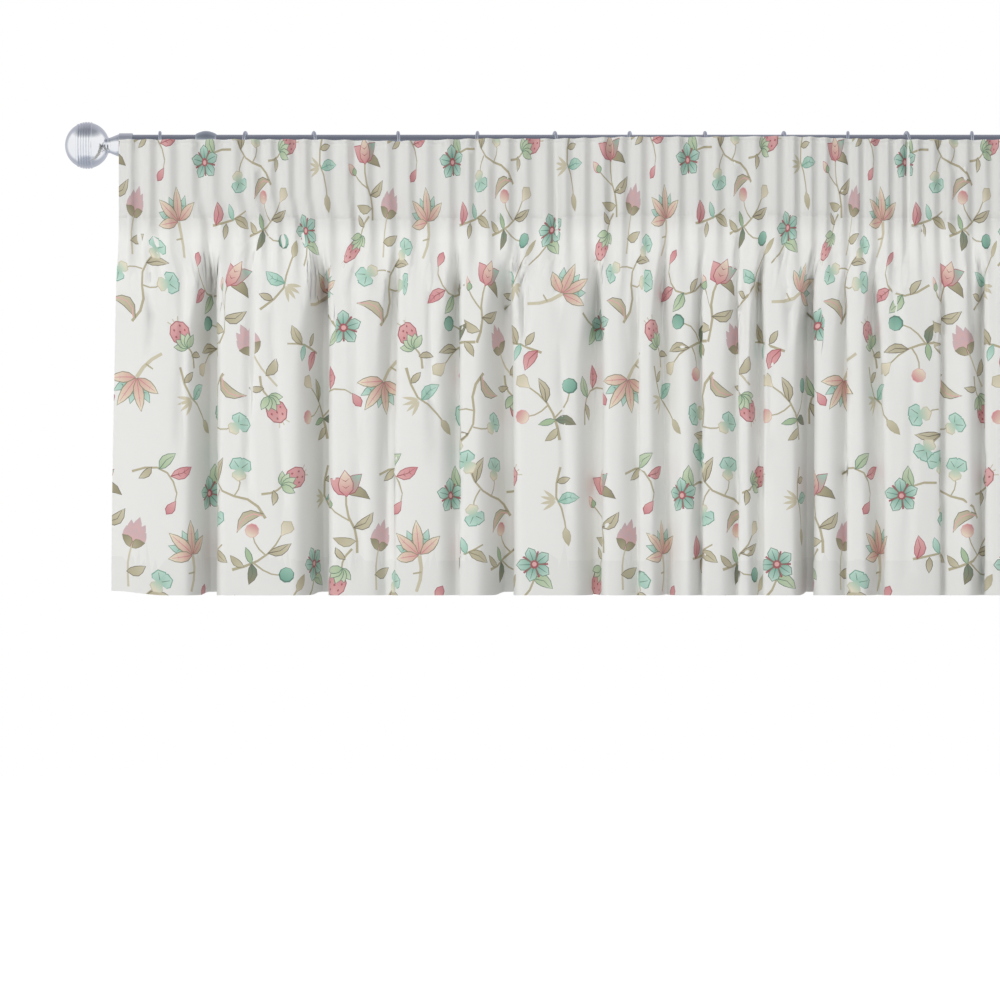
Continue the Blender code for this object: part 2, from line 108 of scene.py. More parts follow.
cloth = {
    "top": 0.0038,          # above the rod's axis
    "drop": 0.397,
    "thickness": 0.0010,
    "hemThickness": 0.0020,
    "hemDepth": 0.0305,
    "hemStep": 0.0012,
    "endReach": 0.0348,     # from the end rings to the side edges
    "endFlare": 0.0055,
    "cornerLift": 0.004,
    "cornerWidth": 0.048,
    "hemDip": 0.0026,       # how much lower the ridges hang than the deep valleys
    "dipSunk": (0.016, 0.034),      # how far back the dip starts and stops fading
    "headingDepth": 0.0725,
    "pleatsPerGap": 4,
    "endPleats": 2,
    "pleatSwing": 0.0023,
    "pleatFlank": 0.15,     # swing between a pleat's crest and its hollows
    "pleatUneven": 0.45,
    "unevenWaves": (0.43, 0.157, 0.8),      # two rates for each column, and a shift
    "pleatWander": 0.0011,
    "pleatFade": 0.078,
    "pleatLean": 0.0085,    # the left pleats run to the right across the lower heading
    "leanEnds": (-0.030, 0.260),
    "leanEase": 0.02,
    "leanAbove": 0.028,     # start of the lean over the heading's lower edge
    "leanGrow": 0.034,
    "ringClearance": 0.002,
    "crestForward": 0.011,
    "ridgeCrown": 0.003,
    "foldOpen": 0.060,
    "foldNarrow": 0.35,     # share of its width that a valley has where it opens
    "foldEase": 0.15,       # how rounded the bottom of a valley is
    "foldUnderPleats": 0.6,
    "lapStart": 0.020,      # below the heading, where ridges begin to lap over their valleys
    "lapOpen": 0.060,       # depth over which a ridge comes to lap over its valley
    "lapNeeds": 0.005,      # how deep a valley is before a ridge laps over it
    "lapEase": (0.004, 0.003),      # further depth to the full lap, from the right and the left
    "lapRoll": 0.07,        # how far a lapping slope rolls over
    "lapRollRate": 2.5,
    "creaseEase": (0.022, 0.035),   # depth over which a crease comes and goes
    "topRuffle": 0.0002,    # rise of the top edge over the pleats' crests
    "ruffleFade": 0.008,
    "stitches": (0.0030, 0.0690),   # depths of the heading's two stitch lines
    "stitchPull": 0.0005,
    "stitchWidth": 0.0008,
    "headingPaintedShade": 0.89,    # painted shade: share of the print's colours where the cloth is gathered, for the shade in the gathers and the light the tape keeps from shining through
    "paintedShadeFade": (0.006, 0.022),     # start of the heading's painted shade over its lower edge, and depth of its fade
    "hemPaintedShade": 0.955,       # painted shade where the cloth is double at the hem, for the light the two layers keep from shining through
}

# Rings from left to right: place along the rod and lift of the cloth's top in mm, turn in degrees
ringColumns = ("x", "turn", "lift")
ringTable = (
    (-40.6, 3, 0.0),
    (34.8, -5, 0.0),
    (94.9, 8, 0.0),
    (169.1, 4, -1.6),
    (239.2, -3, 0.8),
    (307.3, 6, 0.6),
    (373.4, -7, 2.4),
    (439.5, 3, 2.2),
    (508.9, 5, 3.0),
    (565.6, -4, 0.8),
    (617.1, 7, 0.0),
    (674.7, -2, -0.4),
    (738.5, 5, 0.4),
    (801.5, -6, 1.4),
    (870.5, 3, 0.0),
    (932.0, 6, -0.8),
    (998.0, -4, 0.6),
    (1062.0, 2, 0.0),
)

# Valleys between the skirt's ridges, in mm: place of the bottom and its drift by the hem, where
# they open, width of their left slope, floor and right slope, and their depth at three heights.
# Then how far a ridge laps over the valley, as a share of the slope: the ridge on its right (+)
# or on its left (-)
valleyColumns = ("x", "drift", "start", "left", "floor", "right", "upper", "lower", "hem", "lap")
valleyTable = (
    (7, 0, 76, 22, 6, 9, 32, 32, 38, 0.55),
    (106, 0, 82, 26, 5, 8, 34, 35, 40, 0.6),
    (168, -7, 76, 14, 4, 10, 15, 9, 6, 0.5),
    (221, 0, 76, 16, 2, 9, 19, 12, 11, 0.5),
    (265, 2, 84, 28, 6, 10, 26, 27, 36, 0.55),
    (344, -2, 88, 19, 1, 13, 26, 20, 22, 0.2),
    (379, 0, 110, 20, 0, 7, 8, 8, 8, 0.5),
    (400, 5, 76, 13, 2, 18, 20, 17, 21, 0),
    (434, 1, 84, 12, 0, 8, 10, 10, 11, 0.5),
    (466, 0, 96, 15, 0, 7, 8, 8, 8, 0.5),
    (486, -1, 76, 11, 0, 10, 20, 12, 10, 0.2),
    (531, 0, 88, 15, 4, 10, 26, 25, 38, 0.55),
    (561, 0, 96, 15, 0, 7, 8, 8, 8, 0.5),
    (584, 6, 90, 14, 0, 13, 18, 15, 19, 0.2),
    (646, 0, 90, 8, 0, 26, 8, 8, 9, -0.5),
    (681, 1, 80, 14, 0, 10, 16, 13, 16, 0.5),
    (739, 3, 82, 17, 3, 10, 27, 26, 34, 0.55),
    (795, -3, 92, 17, 0, 13, 19, 18, 24, 0.45),
    (856, 4, 78, 17, 5, 10, 30, 27, 34, 0.55),
    (915, -2, 90, 16, 0, 14, 17, 14, 14, 0),
    (968, 3, 84, 17, 2, 12, 26, 26, 36, 0.5),
    (1029, 2, 88, 18, 0, 13, 20, 18, 26, 0.45),
)
valleyDepths = (0.165, 0.280, cloth["drop"])

# Small creases between them, in mm: place at the top, drift, from and to which depth, half width, sunk
creaseTable = (
    (-49, 2, 70, 190, 5, 2.5),
    (-18, -2, 100, 280, 6, 2.0),
    (42, -3, 84, 330, 8, 3.6),
    (60, 10, 130, 340, 7, 1.6),
    (132, 4, 100, 396, 9, 2.2),
    (198, 1, 120, 290, 5, 2.0),
    (277, 4, 84, 190, 5, 4.5),
    (309, 8, 90, 340, 6, 1.6),
    (370, -2, 84, 190, 5, 1.6),
    (468, 4, 78, 200, 6, 5.0),
    (497, -4, 180, 350, 6, 2.0),
    (508, 4, 76, 190, 5, 2.2),
    (563, 2, 120, 290, 6, 1.2),
    (604, 3, 80, 210, 7, 2.0),
    (620, -4, 190, 396, 8, 1.4),
    (671, 3, 78, 200, 6, 4.5),
    (716, -3, 84, 230, 6, 2.4),
    (766, 4, 90, 300, 8, 2.6),
    (826, -4, 84, 250, 7, 2.4),
    (885, 5, 80, 330, 8, 2.8),
    (941, -3, 90, 240, 6, 2.2),
    (1000, 4, 80, 300, 8, 2.6),
    (1062, -3, 84, 260, 7, 2.2),
    (131, 2, -10, 92, 5, 1.6),
    (237, -2, -10, 90, 5, 1.4),
    (306, 3, -10, 96, 5, 1.8),
    (358, -3, -10, 92, 5, 2.0),
    (520, 2, -10, 90, 5, 1.5),
    (556, -2, -10, 94, 5, 1.5),
    (680, 3, -10, 92, 5, 1.9),
    (760, -2, -10, 92, 5, 1.5),
    (905, 3, -10, 92, 5, 1.6),
    (1020, -2, -10, 92, 5, 1.6),
)


def tableColumn(rows, names, name):
    place = names.index(name)
    return np.array([row[place] for row in rows], dtype=float)


def smooth(value):      # a soft step from 0 to 1
    t = np.clip(value, 0.0, 1.0)
    return t * t * (3.0 - 2.0 * t)


ringX = tableColumn(ringTable, ringColumns, "x") * mm
ringTurn = tableColumn(ringTable, ringColumns, "turn")
topLift = tableColumn(ringTable, ringColumns, "lift") * mm
ringReach = ring["inner"] + 2 * ring["wire"]
ringDrop = ring["inner"] - rod["radius"] - ring["gap"]
pleatCount = cloth["pleatsPerGap"] * (len(ringTable) - 1) + 2 * cloth["endPleats"]
columnCount = 4 * pleatCount        # four columns to a pleat, with a hollow at every ring
ringColumnsAt = 4 * (cloth["endPleats"] + cloth["pleatsPerGap"] * np.arange(len(ringTable)))
clothLeft = ringX[0] - cloth["endReach"]
clothRight = ringX[-1] + cloth["endReach"]
hemLine = cloth["drop"] - cloth["hemDepth"]


# Materials

def ink(red, green, blue):      # a screen colour from 0 to 255, as linear light
    share = np.array([red, green, blue]) / 255.0
    return np.where(share <= 0.04045, share / 12.92, ((share + 0.055) / 1.055) ** 2.4)


def newGroup(name, numbers, outputs):   # a node group that takes a vector and some numbers
    group = bpy.data.node_groups.new(name, "ShaderNodeTree")
    group.interface.new_socket("Vector", in_out="INPUT", socket_type="NodeSocketVector")
    for title, value in numbers.items():
        socket = group.interface.new_socket(title, in_out="INPUT", socket_type="NodeSocketFloat")
        socket.default_value = value
    for title in outputs:
        group.interface.new_socket(title, in_out="OUTPUT", socket_type="NodeSocketFloat")
    start = group.nodes.new("NodeGroupInput")
    end = group.nodes.new("NodeGroupOutput")
    return group, start.outputs, end.inputs


def setInputs(node, values):    # each value is a constant or the output of another node
    for key, value in values.items():
        if isinstance(value, bpy.types.NodeSocket):
            node.id_data.links.new(value, node.inputs[key])
        else:
            node.inputs[key].default_value = value


def addNode(tree, kind, values=None, **settings):
    node = tree.nodes.new(kind)
    for key, value in settings.items():
        setattr(node, key, value)
    setInputs(node, values or {})
    return node


def mathNode(tree, operation, *values):
    return addNode(tree, "ShaderNodeMath", dict(enumerate(values)), operation=operation).outputs[0]


def mixNode(tree, factor, first, second, blend="MIX"):
    return addNode(tree, "ShaderNodeMix", {"Factor": factor, 6: first, 7: second},
                   data_type="RGBA", blend_type=blend).outputs[2]


def noiseNode(tree, vector, scale, detail):
    values = {"Vector": vector, "Scale": scale, "Detail": detail}
    return addNode(tree, "ShaderNodeTexNoise", values).outputs[0]


def stretched(tree, vector, scale):
    return addNode(tree, "ShaderNodeMapping", {"Vector": vector, "Scale": scale}).outputs[0]


def weaveGroup():
    group, start, end = newGroup("threadWeave", {"Threads": 1800.0, "Slub": 0.3}, ("Height", "Shade"))
    parts = addNode(group, "ShaderNodeSeparateXYZ", {0: start["Vector"]})
    waves = []
    for axis in ("X", "Y"):
        turn = mathNode(group, "MULTIPLY", parts.outputs[axis], start["Threads"])
        waves.append(mathNode(group, "SINE", mathNode(group, "MULTIPLY", turn, math.tau)))
    crossing = mathNode(group, "MULTIPLY", *waves)
    noise = noiseNode(group, stretched(group, start["Vector"], (0.25, 1.0, 1.0)), 900.0, 2.0)
    uneven = mathNode(group, "MULTIPLY", noise, start["Slub"])
    height = mathNode(group, "ADD", mathNode(group, "MULTIPLY", crossing, 0.5), uneven)
    shade = mathNode(group, "ADD", mathNode(group, "MULTIPLY", crossing, 0.02), 1.0)
    group.links.new(height, end["Height"])
    group.links.new(shade, end["Shade"])
    return group


def finishGroup():
    group, start, end = newGroup("metalFinish", {"Lines": 4000.0, "Depth": 0.3}, ("Height", "Smudge"))
    lines = noiseNode(group, stretched(group, start["Vector"], (1.0, 0.02, 0.02)), start["Lines"], 3.0)
    group.links.new(mathNode(group, "MULTIPLY", lines, start["Depth"]), end["Height"])
    group.links.new(noiseNode(group, start["Vector"], 90.0, 4.0), end["Smudge"])
    return group


threadWeave = weaveGroup()
metalFinish = finishGroup()
bumpDistance = 0.0002


def newMaterial(name):
    material = bpy.data.materials.new(name)
    material.use_nodes = True
    tree = material.node_tree
    return material, tree, tree.nodes["Principled BSDF"]


def bumpNode(tree, height, strength):
    values = {"Strength": strength, "Distance": bumpDistance, "Height": height}
    return addNode(tree, "ShaderNodeBump", values).outputs[0]


def clothMaterial(name, threads, slub, strength, tint=None):
    material, tree, shader = newMaterial(name)
    lay = addNode(tree, "ShaderNodeUVMap", uv_map="flat").outputs[0]
    weave = addNode(tree, "ShaderNodeGroup", node_tree=threadWeave)
    setInputs(weave, {"Vector": lay, "Threads": threads, "Slub": slub})
    if tint is None:
        base = addNode(tree, "ShaderNodeAttribute", attribute_name="ink").outputs["Color"]
    else:
        base = (*tint, 1.0)
    setInputs(shader, {
        "Base Color": mixNode(tree, 1.0, base, weave.outputs["Shade"], "MULTIPLY"),
        "Roughness": 0.86,
        "Specular IOR Level": 0.25,
        "Sheen Weight": 0.12,
        "Sheen Roughness": 0.5,
        "Normal": bumpNode(tree, weave.outputs["Height"], strength),
    })
    return material


def metalMaterial(name, colour, dull, lines, depth, roughness):
    material, tree, shader = newMaterial(name)
    place = addNode(tree, "ShaderNodeTexCoord").outputs["Object"]
    finish = addNode(tree, "ShaderNodeGroup", node_tree=metalFinish)
    setInputs(finish, {"Vector": place, "Lines": lines, "Depth": depth})
    smudge = finish.outputs["Smudge"]
    spread = addNode(tree, "ShaderNodeMapRange",
                     {"Value": smudge, "To Min": roughness * 0.75, "To Max": roughness * 1.3})
    setInputs(shader, {
        "Base Color": mixNode(tree, smudge, (*colour, 1.0), (*dull, 1.0)),
        "Roughness": spread.outputs[0],
        "Metallic": 1.0,
        "Normal": bumpNode(tree, finish.outputs["Height"], 0.25),
    })
    return material


def plasticMaterial(name, colour):
    material, tree, shader = newMaterial(name)
    noise = noiseNode(tree, addNode(tree, "ShaderNodeTexCoord").outputs["Object"], 700.0, 3.0)
    setInputs(shader, {
        "Base Color": mixNode(tree, noise, (*colour, 1.0), (*(0.9 * c for c in colour), 1.0)),
        "Roughness": 0.42,
        "Normal": bumpNode(tree, noise, 0.15),
    })
    return material


printedCotton = clothMaterial("printedCotton", 1700.0, 0.5, 0.35)
wovenTape = clothMaterial("wovenTape", 1100.0, 0.4, 0.8, tuple(ink(228, 226, 218)))
rodChrome = metalMaterial("rodChrome", ink(186, 189, 197), ink(170, 174, 183), 5000.0, 0.4, 0.20)
finialChrome = metalMaterial("finialChrome", ink(242, 243, 245), ink(233, 235, 239), 5000.0, 0.15, 0.10)
bracketChrome = metalMaterial("bracketChrome", ink(196, 202, 208), ink(180, 187, 194), 5000.0, 0.3, 0.18)
ringWire = metalMaterial("ringWire", ink(215, 219, 226), ink(196, 200, 208), 3000.0, 0.2, 0.25)
hookNylon = plasticMaterial("hookNylon", ink(232, 232, 228))
print("materials ready")


# Print of flowers and leaves

def softInk(red, green, blue, fade=0.30):     # a colour of the print, greyed by the cloth under it
    grey = 0.3 * red + 0.55 * green + 0.15 * blue
    return ink(*(value + (grey + 5.0 - value) * fade for value in (red, green, blue)))


inks = {
    "ground": ink(238, 238, 235),
    "mint": softInk(150, 208, 184),
    "paleMint": softInk(190, 228, 212),
    "teal": softInk(112, 178, 154),
    "deepTeal": softInk(92, 142, 122),
    "pine": softInk(112, 146, 122),
    "leaf": softInk(168, 200, 150),
    "paleLeaf": softInk(206, 222, 184),
    "pink": softInk(230, 132, 140),
    "rose": softInk(240, 172, 170),
    "red": softInk(190, 92, 98),
    "salmon": softInk(226, 164, 148),
    "cream": softInk(240, 226, 194),
    "khaki": softInk(190, 178, 138),
    "sand": softInk(212, 202, 168),
    "olive": softInk(152, 144, 108),
    "bark": softInk(128, 120, 100),
    "mauve": softInk(214, 180, 184),
}


def curveThrough(path, count):      # a soft line through a few points
    path = np.array(path, dtype=float)
    ends = np.vstack([2 * path[0] - path[1], path, 2 * path[-1] - path[-2]])
    spots = np.linspace(0.0, len(path) - 1.0, count)
    step = np.minimum(spots.astype(int), len(path) - 2)
    t = (spots - step)[:, None]
    a, b, c, d = (ends[step + k] for k in range(4))
    return 0.5 * (2 * b + (c - a) * t + (2 * a - 5 * b + 4 * c - d) * t ** 2
                  + (3 * b - a - 3 * c + d) * t ** 3)


def area(points):
    x, y = points[:, 0], points[:, 1]
    return 0.5 * np.sum(x * np.roll(y, -1) - y * np.roll(x, -1))


def patch(points, first, second=None, start=None, end=None):    # one area of ink
    points = np.array(points, dtype=float)
    if area(points) < 0:
        points = points[::-1]
    start = points[0] if start is None else start
    end = points[len(points) // 2] if end is None else end
    return points, inks[first], inks[second or first], np.array(start), np.array(end)


def stem(path, colour, width=1.2, tip=0.8, count=4):
    line = curveThrough(path, count)
    run = np.gradient(line, axis=0)
    run /= np.linalg.norm(run, axis=1)[:, None]
    side = np.stack([-run[:, 1], run[:, 0]], axis=1)
    half = 0.5 * np.linspace(width, tip, len(line))[:, None]
    return [patch(np.vstack([line + side * half, (line - side * half)[::-1]]), colour)]


bladeSteps = 4


def bladeEdge(start, end, width, bend, fullest):
    along = end - start
    side = np.array([-along[1], along[0]]) / np.linalg.norm(along)
    t = np.linspace(0.0, 1.0, bladeSteps + 1)[:, None]
    line = start + along * t + side * bend * 4 * t * (1 - t)
    half = 0.5 * width * np.sin(math.pi * t ** (math.log(0.5) / math.log(fullest))) ** 0.85
    return np.vstack([line + side * half, (line - side * half)[-2:0:-1]])


def blade(start, end, width, first, second=None, bend=0.0, edge=None, rib=None, hatch=None,
          fullest=0.45, rim=0.55):
    start, end = np.array(start, dtype=float), np.array(end, dtype=float)
    length = np.linalg.norm(end - start)
    along = (end - start) / length
    side = np.array([-along[1], along[0]])
    pieces = []
    if edge:
        outer = bladeEdge(start - along * rim, end + along * rim, width + 2 * rim, bend, fullest)
        pieces.append(patch(outer, edge))
    pieces.append(patch(bladeEdge(start, end, width, bend, fullest), first, second, start, end))
    if hatch:
        for t in (0.32, 0.58):
            middle = start + along * length * t + side * bend * 4 * t * (1 - t)
            for way in (-1, 1):
                out = middle + side * way * width * 0.34 + along * width * 0.22
                pieces.append(patch([middle - along * 0.3, out, middle + along * 0.3], hatch))
    if rib:
        path = [start, start + 0.5 * along * length + side * bend, start + along * length * 0.86]
        pieces += stem(path, rib, 0.7, 0.25, 3)
    return pieces


def dot(x, y, radius, first, second=None, sides=8, squeeze=1.0):
    angles = np.arange(sides) * math.tau / sides
    points = np.stack([radius * np.cos(angles), radius * squeeze * np.sin(angles)], axis=1)
    reach = radius * squeeze
    return [patch(points + (x, y), first, second, (x, y - reach), (x, y + reach))]


def placed(pieces, x=0.0, y=0.0, turn=0.0, size=1.0):
    c, s = math.cos(math.radians(turn)), math.sin(math.radians(turn))
    spin = size * np.array([[c, s], [-s, c]])
    return [(points @ spin + (x, y), first, second, start @ spin + (x, y), end @ spin + (x, y))
            for points, first, second, start, end in pieces]


def fan(turns, pieces, **spot):     # the same pieces at several turns
    return [piece for turn in turns for piece in placed(pieces, turn=turn, **spot)]


def lobeLeaf(x, y, turn, size=1.0):      # three soft lobes
    under, over = [], []
    for angle, reach, width, pale in ((135, 8.6, 9.6, False), (45, 8.6, 9.6, False), (-90, 8.4, 9.0, True)):
        tip = reach * np.array([math.cos(math.radians(angle)), math.sin(math.radians(angle))])
        under += blade(-0.2 * tip, tip, width + 1.1, "sand" if pale else "teal", fullest=0.62)
        over += blade(-0.2 * tip, tip * 0.92, width, "mint", "cream" if pale else "paleMint",
                      rib=None if pale else "pine", fullest=0.62)
    return placed(under + over, x, y, turn, size)


def bloom():        # five mint petals on a bent stalk with one leaf
    pieces = stem([(0, -2), (-6, -13), (-17, -20)], "khaki", 1.2, 1.7)
    pieces += blade((-4, -9), (6, -20), 7.5, "leaf", "paleLeaf", 2.0, "pine", "pine")
    pieces += fan(range(54, 414, 72), stem([(0, 0), (9.5, 0)], "red", 0.5, 1.4, 2))
    pieces += fan(range(18, 378, 72), blade((1, 0), (12, 0), 7.6, "teal", "paleMint", 0.0, "pine",
                                            "deepTeal", fullest=0.6))
    return pieces + dot(0, 0, 3.1, "red") + dot(0, 0.2, 1.7, "rose")


def tulip():        # cupped flower over a long stalk
    pieces = stem([(0, 4), (-1, -10), (3, -24), (2, -37)], "khaki", 1.3, 1.8, 6)
    pieces += stem([(1, -16), (-7, -10), (-12, -4)], "khaki", 1.1, 0.9)
    pieces += blade((2, -20), (16, -12), 6.5, "khaki", "sand", -2.6, "bark", "bark")
    pieces += blade((2, -29), (-12, -25), 5.5, "sand", "khaki", 1.8, "olive")
    pieces += blade((0, 3), (15, -3), 6.0, "khaki", "olive", 3.2, "bark")
    pieces += blade((-1, 2), (-10, 14), 9.5, "pink", "rose", -2.2, "red", fullest=0.4)
    pieces += blade((1, 2), (12, 14), 9.5, "pink", "mint", 2.2, "red", fullest=0.4)
    pieces += blade((0, 1), (1, 18), 9.5, "pink", "cream", edge="red", fullest=0.42, hatch="red")
    pieces += blade((-12, -5), (-17, 3), 5.0, "rose", "cream", edge="pink")
    return pieces + blade((-12, -5), (-12.5, 0), 4.2, "leaf", edge="pine")


def berry():        # seeded berry in a leafy cup
    pieces = stem([(0, -8), (1, -15), (-2, -23)], "khaki", 1.1, 1.6)
    pieces += blade((0, -15), (8, -20), 3.6, "khaki", "sand", 1.2, "bark")
    for x in (-3, 0, 3):
        pieces += stem([(x * 0.6, 9), (x * 1.3, 13)], "sand", 0.7, 0.7, 2)
    pieces += dot(0, 2.5, 7.0, "red", squeeze=1.22, sides=9)
    pieces += dot(0, 2.5, 6.4, "pink", "rose", squeeze=1.22, sides=9)
    for x, y in ((-2.6, 6), (2.0, 7), (-3.6, 1.4), (0.2, 3.2), (3.8, 2.6)):
        pieces += dot(x, y, 0.7, "red", sides=4, squeeze=1.5)
    for turn, reach in ((148, 9.5), (119, 9.5), (90, 10.5), (61, 9.5), (32, 9.5)):
        pieces += placed(blade((0, 0), (reach, 0), 4.6, "leaf", "paleLeaf", edge="pine"), 0, -8.6, turn)
    return pieces


def starLeaf():     # fan of lance petals with leaves between
    pieces = stem([(0, 0), (-3, -12), (-10, -22)], "sand", 2.6, 2.0)
    pieces += stem([(-2.5, -11), (-8, -10)], "khaki", 1.2, 1.0, 3)
    pieces += fan((52, 97, 140), blade((1, 0), (18, 0), 5.8, "teal", "paleMint", edge="pine",
                                       hatch="deepTeal"))
    for turn, reach in ((24, 18), (76, 23), (119, 22), (168, 17)):
        pieces += placed(blade((1, 0), (reach, 0), 6.6, "salmon", "cream", 0.0, "olive", "pink", "rose",
                               rim=0.6), turn=turn)
    return pieces


def lobeSprig():    # lobed leaves and one sickle leaf on a swinging stalk
    pieces = stem([(-14, 20), (-10, 6), (0, -2), (12, -8), (18, -20)], "khaki", 1.0, 1.9, 7)
    pieces += stem([(0, -2), (5, 4), (5, 10)], "khaki", 1.0, 0.8)
    pieces += stem([(-9, 4), (-14, -2), (-15, -7)], "khaki", 1.0, 0.8)
    pieces += blade((-11, 9), (-3, 24), 5.4, "khaki", "sand", 1.5, "bark", "bark")
    pieces += blade((17, -17), (-2, -26), 6.5, "khaki", "sand", -5.0, "bark")
    pieces += stem([(16, -18), (9, -15.5), (2, -19), (-2, -25)], "rose", 0.8, 0.6, 5)
    pieces += lobeLeaf(-15, 23, 25) + lobeLeaf(7, 15, -20) + lobeLeaf(-16, -12, 190, 0.95)
    return pieces


def fruitSprig():   # berries and a pear bud on a forked twig
    pieces = stem([(-16, -18), (-5, -8), (2, 4), (4, 17)], "khaki", 1.9, 0.9, 6)
    pieces += stem([(-5, -8), (6, -10), (14, -8)], "khaki", 1.2, 0.8)
    pieces += stem([(0, 0), (-8, 3), (-13, 8)], "khaki", 1.1, 0.8)
    pieces += blade((1, 2), (12, 14), 5.6, "khaki", "sand", -1.6, "bark", "bark")
    pieces += blade((-6, -9), (-2, -22), 5.6, "pine", "olive", 1.6, "bark", "bark")
    pieces += blade((-10, -13), (-21, -10), 4.2, "sand", "khaki", 1.0, "olive")
    pieces += dot(18, -6, 5.2, "deepTeal", sides=9) + dot(18, -5.6, 4.5, "teal", "mint", sides=9)
    pieces += dot(-15, 11, 4.8, "rose", sides=9) + dot(-15, 11, 4.4, "cream", "pink", sides=9)
    pieces += blade((4, 16), (6, 27), 8.6, "cream", "sand", fullest=0.66, edge="khaki")
    return pieces + blade((-6, -9), (-14, -1), 3.6, "leaf", edge="pine")


def leafPair():     # striped leaf and plain leaf on an arched stalk
    pieces = stem([(-20, -6), (-10, 5), (2, 6), (12, -2)], "khaki", 1.5, 1.0, 6)
    pieces += blade((-6, 6), (-2, 20), 6.6, "leaf", "paleLeaf", 1.2, "pine", "pine")
    pieces += blade((3, 6), (12, 18), 7.0, "rose", "pink", -1.2, "red", "red", "red")
    pieces += blade((-11, 4), (-14, -7), 4.0, "khaki", "sand", 1.0, "bark")
    pieces += stem([(12, -2), (14, -8)], "khaki", 0.8, 0.7, 3)
    return pieces + blade((14, -7), (13, -17), 5.6, "rose", "pink", fullest=0.6, edge="red")


def coneFlower():   # overlapping mauve petals in a khaki cup
    pieces = stem([(0, -2), (1, -14), (6, -30)], "sand", 1.1, 1.5, 5)
    pieces += blade((2, -20), (13, -12), 6.4, "khaki", "sand", -1.8, "bark")
    for x, y, tipX, tipY in ((-3, 4, -5, 15), (3, 4, 5, 15), (0, 6, 0, 19), (-5, 0, -7, 10),
                             (5, 0, 7, 10), (0, 0, 0, 11)):
        pieces += blade((x * 0.6, y - 2), (tipX, tipY), 5.6, "rose", "mauve", edge="mauve")
    pieces += blade((-1, -3), (-8, 3), 5.2, "khaki", "olive", -1.6, "olive")
    return pieces + blade((1, -3), (8, 3), 5.2, "khaki", "olive", 1.6, "olive")


def twig():         # hatched leaf and a spray of fine bracts
    pieces = stem([(14, 20), (2, 6), (0, -8), (-6, -24)], "khaki", 1.6, 1.0, 6)
    pieces += blade((1, 0), (15, -5), 7.4, "mint", "paleMint", 1.4, "teal", "teal", "teal")
    pieces += blade((-4, -18), (-8, -30), 5.0, "sand", "khaki", edge="khaki")
    pieces += fan((112, 136, 160, 184), blade((1, 0), (12, 0), 2.4, "sand"), x=0.5, y=1.0)
    return pieces + blade((7, 12), (16, 10), 4.0, "khaki", "sand", edge="bark")


def budTwig():      # small coral leaf twig
    pieces = stem([(8, 14), (3, 2), (-8, -12)], "khaki", 1.0, 1.7, 5)
    pieces += blade((-6, -10), (-15, 2), 7.2, "pink", "rose", -1.8, "red", "red")
    pieces += blade((4, 4), (18, 7), 6.2, "khaki", "sand", 1.0, "olive", "olive")
    pieces += blade((3, 2), (-6, 8), 4.2, "mint", "paleMint", edge="teal")
    return pieces + blade((0, -4), (6, -12), 4.0, "khaki", "sand", edge="bark")


motifs = {
    "bloom": bloom(), "tulip": tulip(), "berry": berry(), "starLeaf": starLeaf(),
    "lobeSprig": lobeSprig(), "fruitSprig": fruitSprig(), "leafPair": leafPair(),
    "coneFlower": coneFlower(), "twig": twig(), "budTwig": budTwig(),
}

# One repeat of the print, in mm: motif, place across and down, turn in degrees, size
repeat = {"width": 330.0, "height": 290.0, "across": -40.0, "down": -12.0, "larger": 1.32}
repeatColumns = ("motif", "x", "y", "turn", "size")
repeatTable = (
    ("tulip", 28, 34, 8, 1.0),
    ("leafPair", 84, 20, -30, 1.0),
    ("bloom", 142, 32, 150, 0.95),
    ("lobeSprig", 200, 30, 10, 1.0),
    ("berry", 252, 18, -60, 1.0),
    ("twig", 300, 38, 30, 0.95),
    ("coneFlower", 58, 76, -16, 0.95),
    ("starLeaf", 112, 84, 20, 1.0),
    ("budTwig", 170, 82, -40, 1.0),
    ("fruitSprig", 228, 84, -25, 1.0),
    ("bloom", 280, 92, 20, 0.95),
    ("berry", 20, 106, 160, 1.0),
    ("lobeSprig", 66, 140, -60, 1.0),
    ("leafPair", 140, 138, 160, 1.0),
    ("tulip", 194, 142, -14, 1.0),
    ("twig", 246, 138, 170, 1.0),
    ("starLeaf", 304, 148, -50, 0.95),
    ("bloom", 24, 176, -70, 0.95),
    ("berry", 100, 184, 30, 1.0),
    ("fruitSprig", 152, 194, 140, 1.0),
    ("coneFlower", 216, 196, 24, 0.95),
    ("budTwig", 268, 194, 110, 1.0),
    ("starLeaf", 60, 222, 160, 1.0),
    ("leafPair", 12, 238, 40, 1.0),
    ("twig", 112, 240, 60, 1.0),
    ("lobeSprig", 180, 250, 120, 1.0),
    ("berry", 236, 246, -150, 1.0),
    ("fruitSprig", 292, 244, 60, 1.0),
)


def printPatches(width, height):    # every patch of ink on the flat cloth, in metres from its top left
    patches = []
    across = math.ceil((width / mm - repeat["across"]) / repeat["width"])
    down = math.ceil((height / mm - repeat["down"]) / repeat["height"])
    for i in range(-1, across + 1):
        for j in range(-1, down + 1):
            for row in repeatTable:
                item = dict(zip(repeatColumns, row))
                x = repeat["across"] + i * repeat["width"] + item["x"]
                y = repeat["down"] + j * repeat["height"] + item["y"]
                if not (-45 < x < width / mm + 45 and -45 < y < height / mm + 45):
                    continue
                for piece in placed(motifs[item["motif"]], turn=item["turn"],
                                    size=repeat["larger"] * item["size"]):
                    points, first, second, start, end = piece
                    flip = np.array([mm, -mm])
                    offset = np.array([x, y]) * mm
                    patches.append((points[::-1] * flip + offset, first, second,
                                    start * flip + offset, end * flip + offset))
    return patches


# Cloth

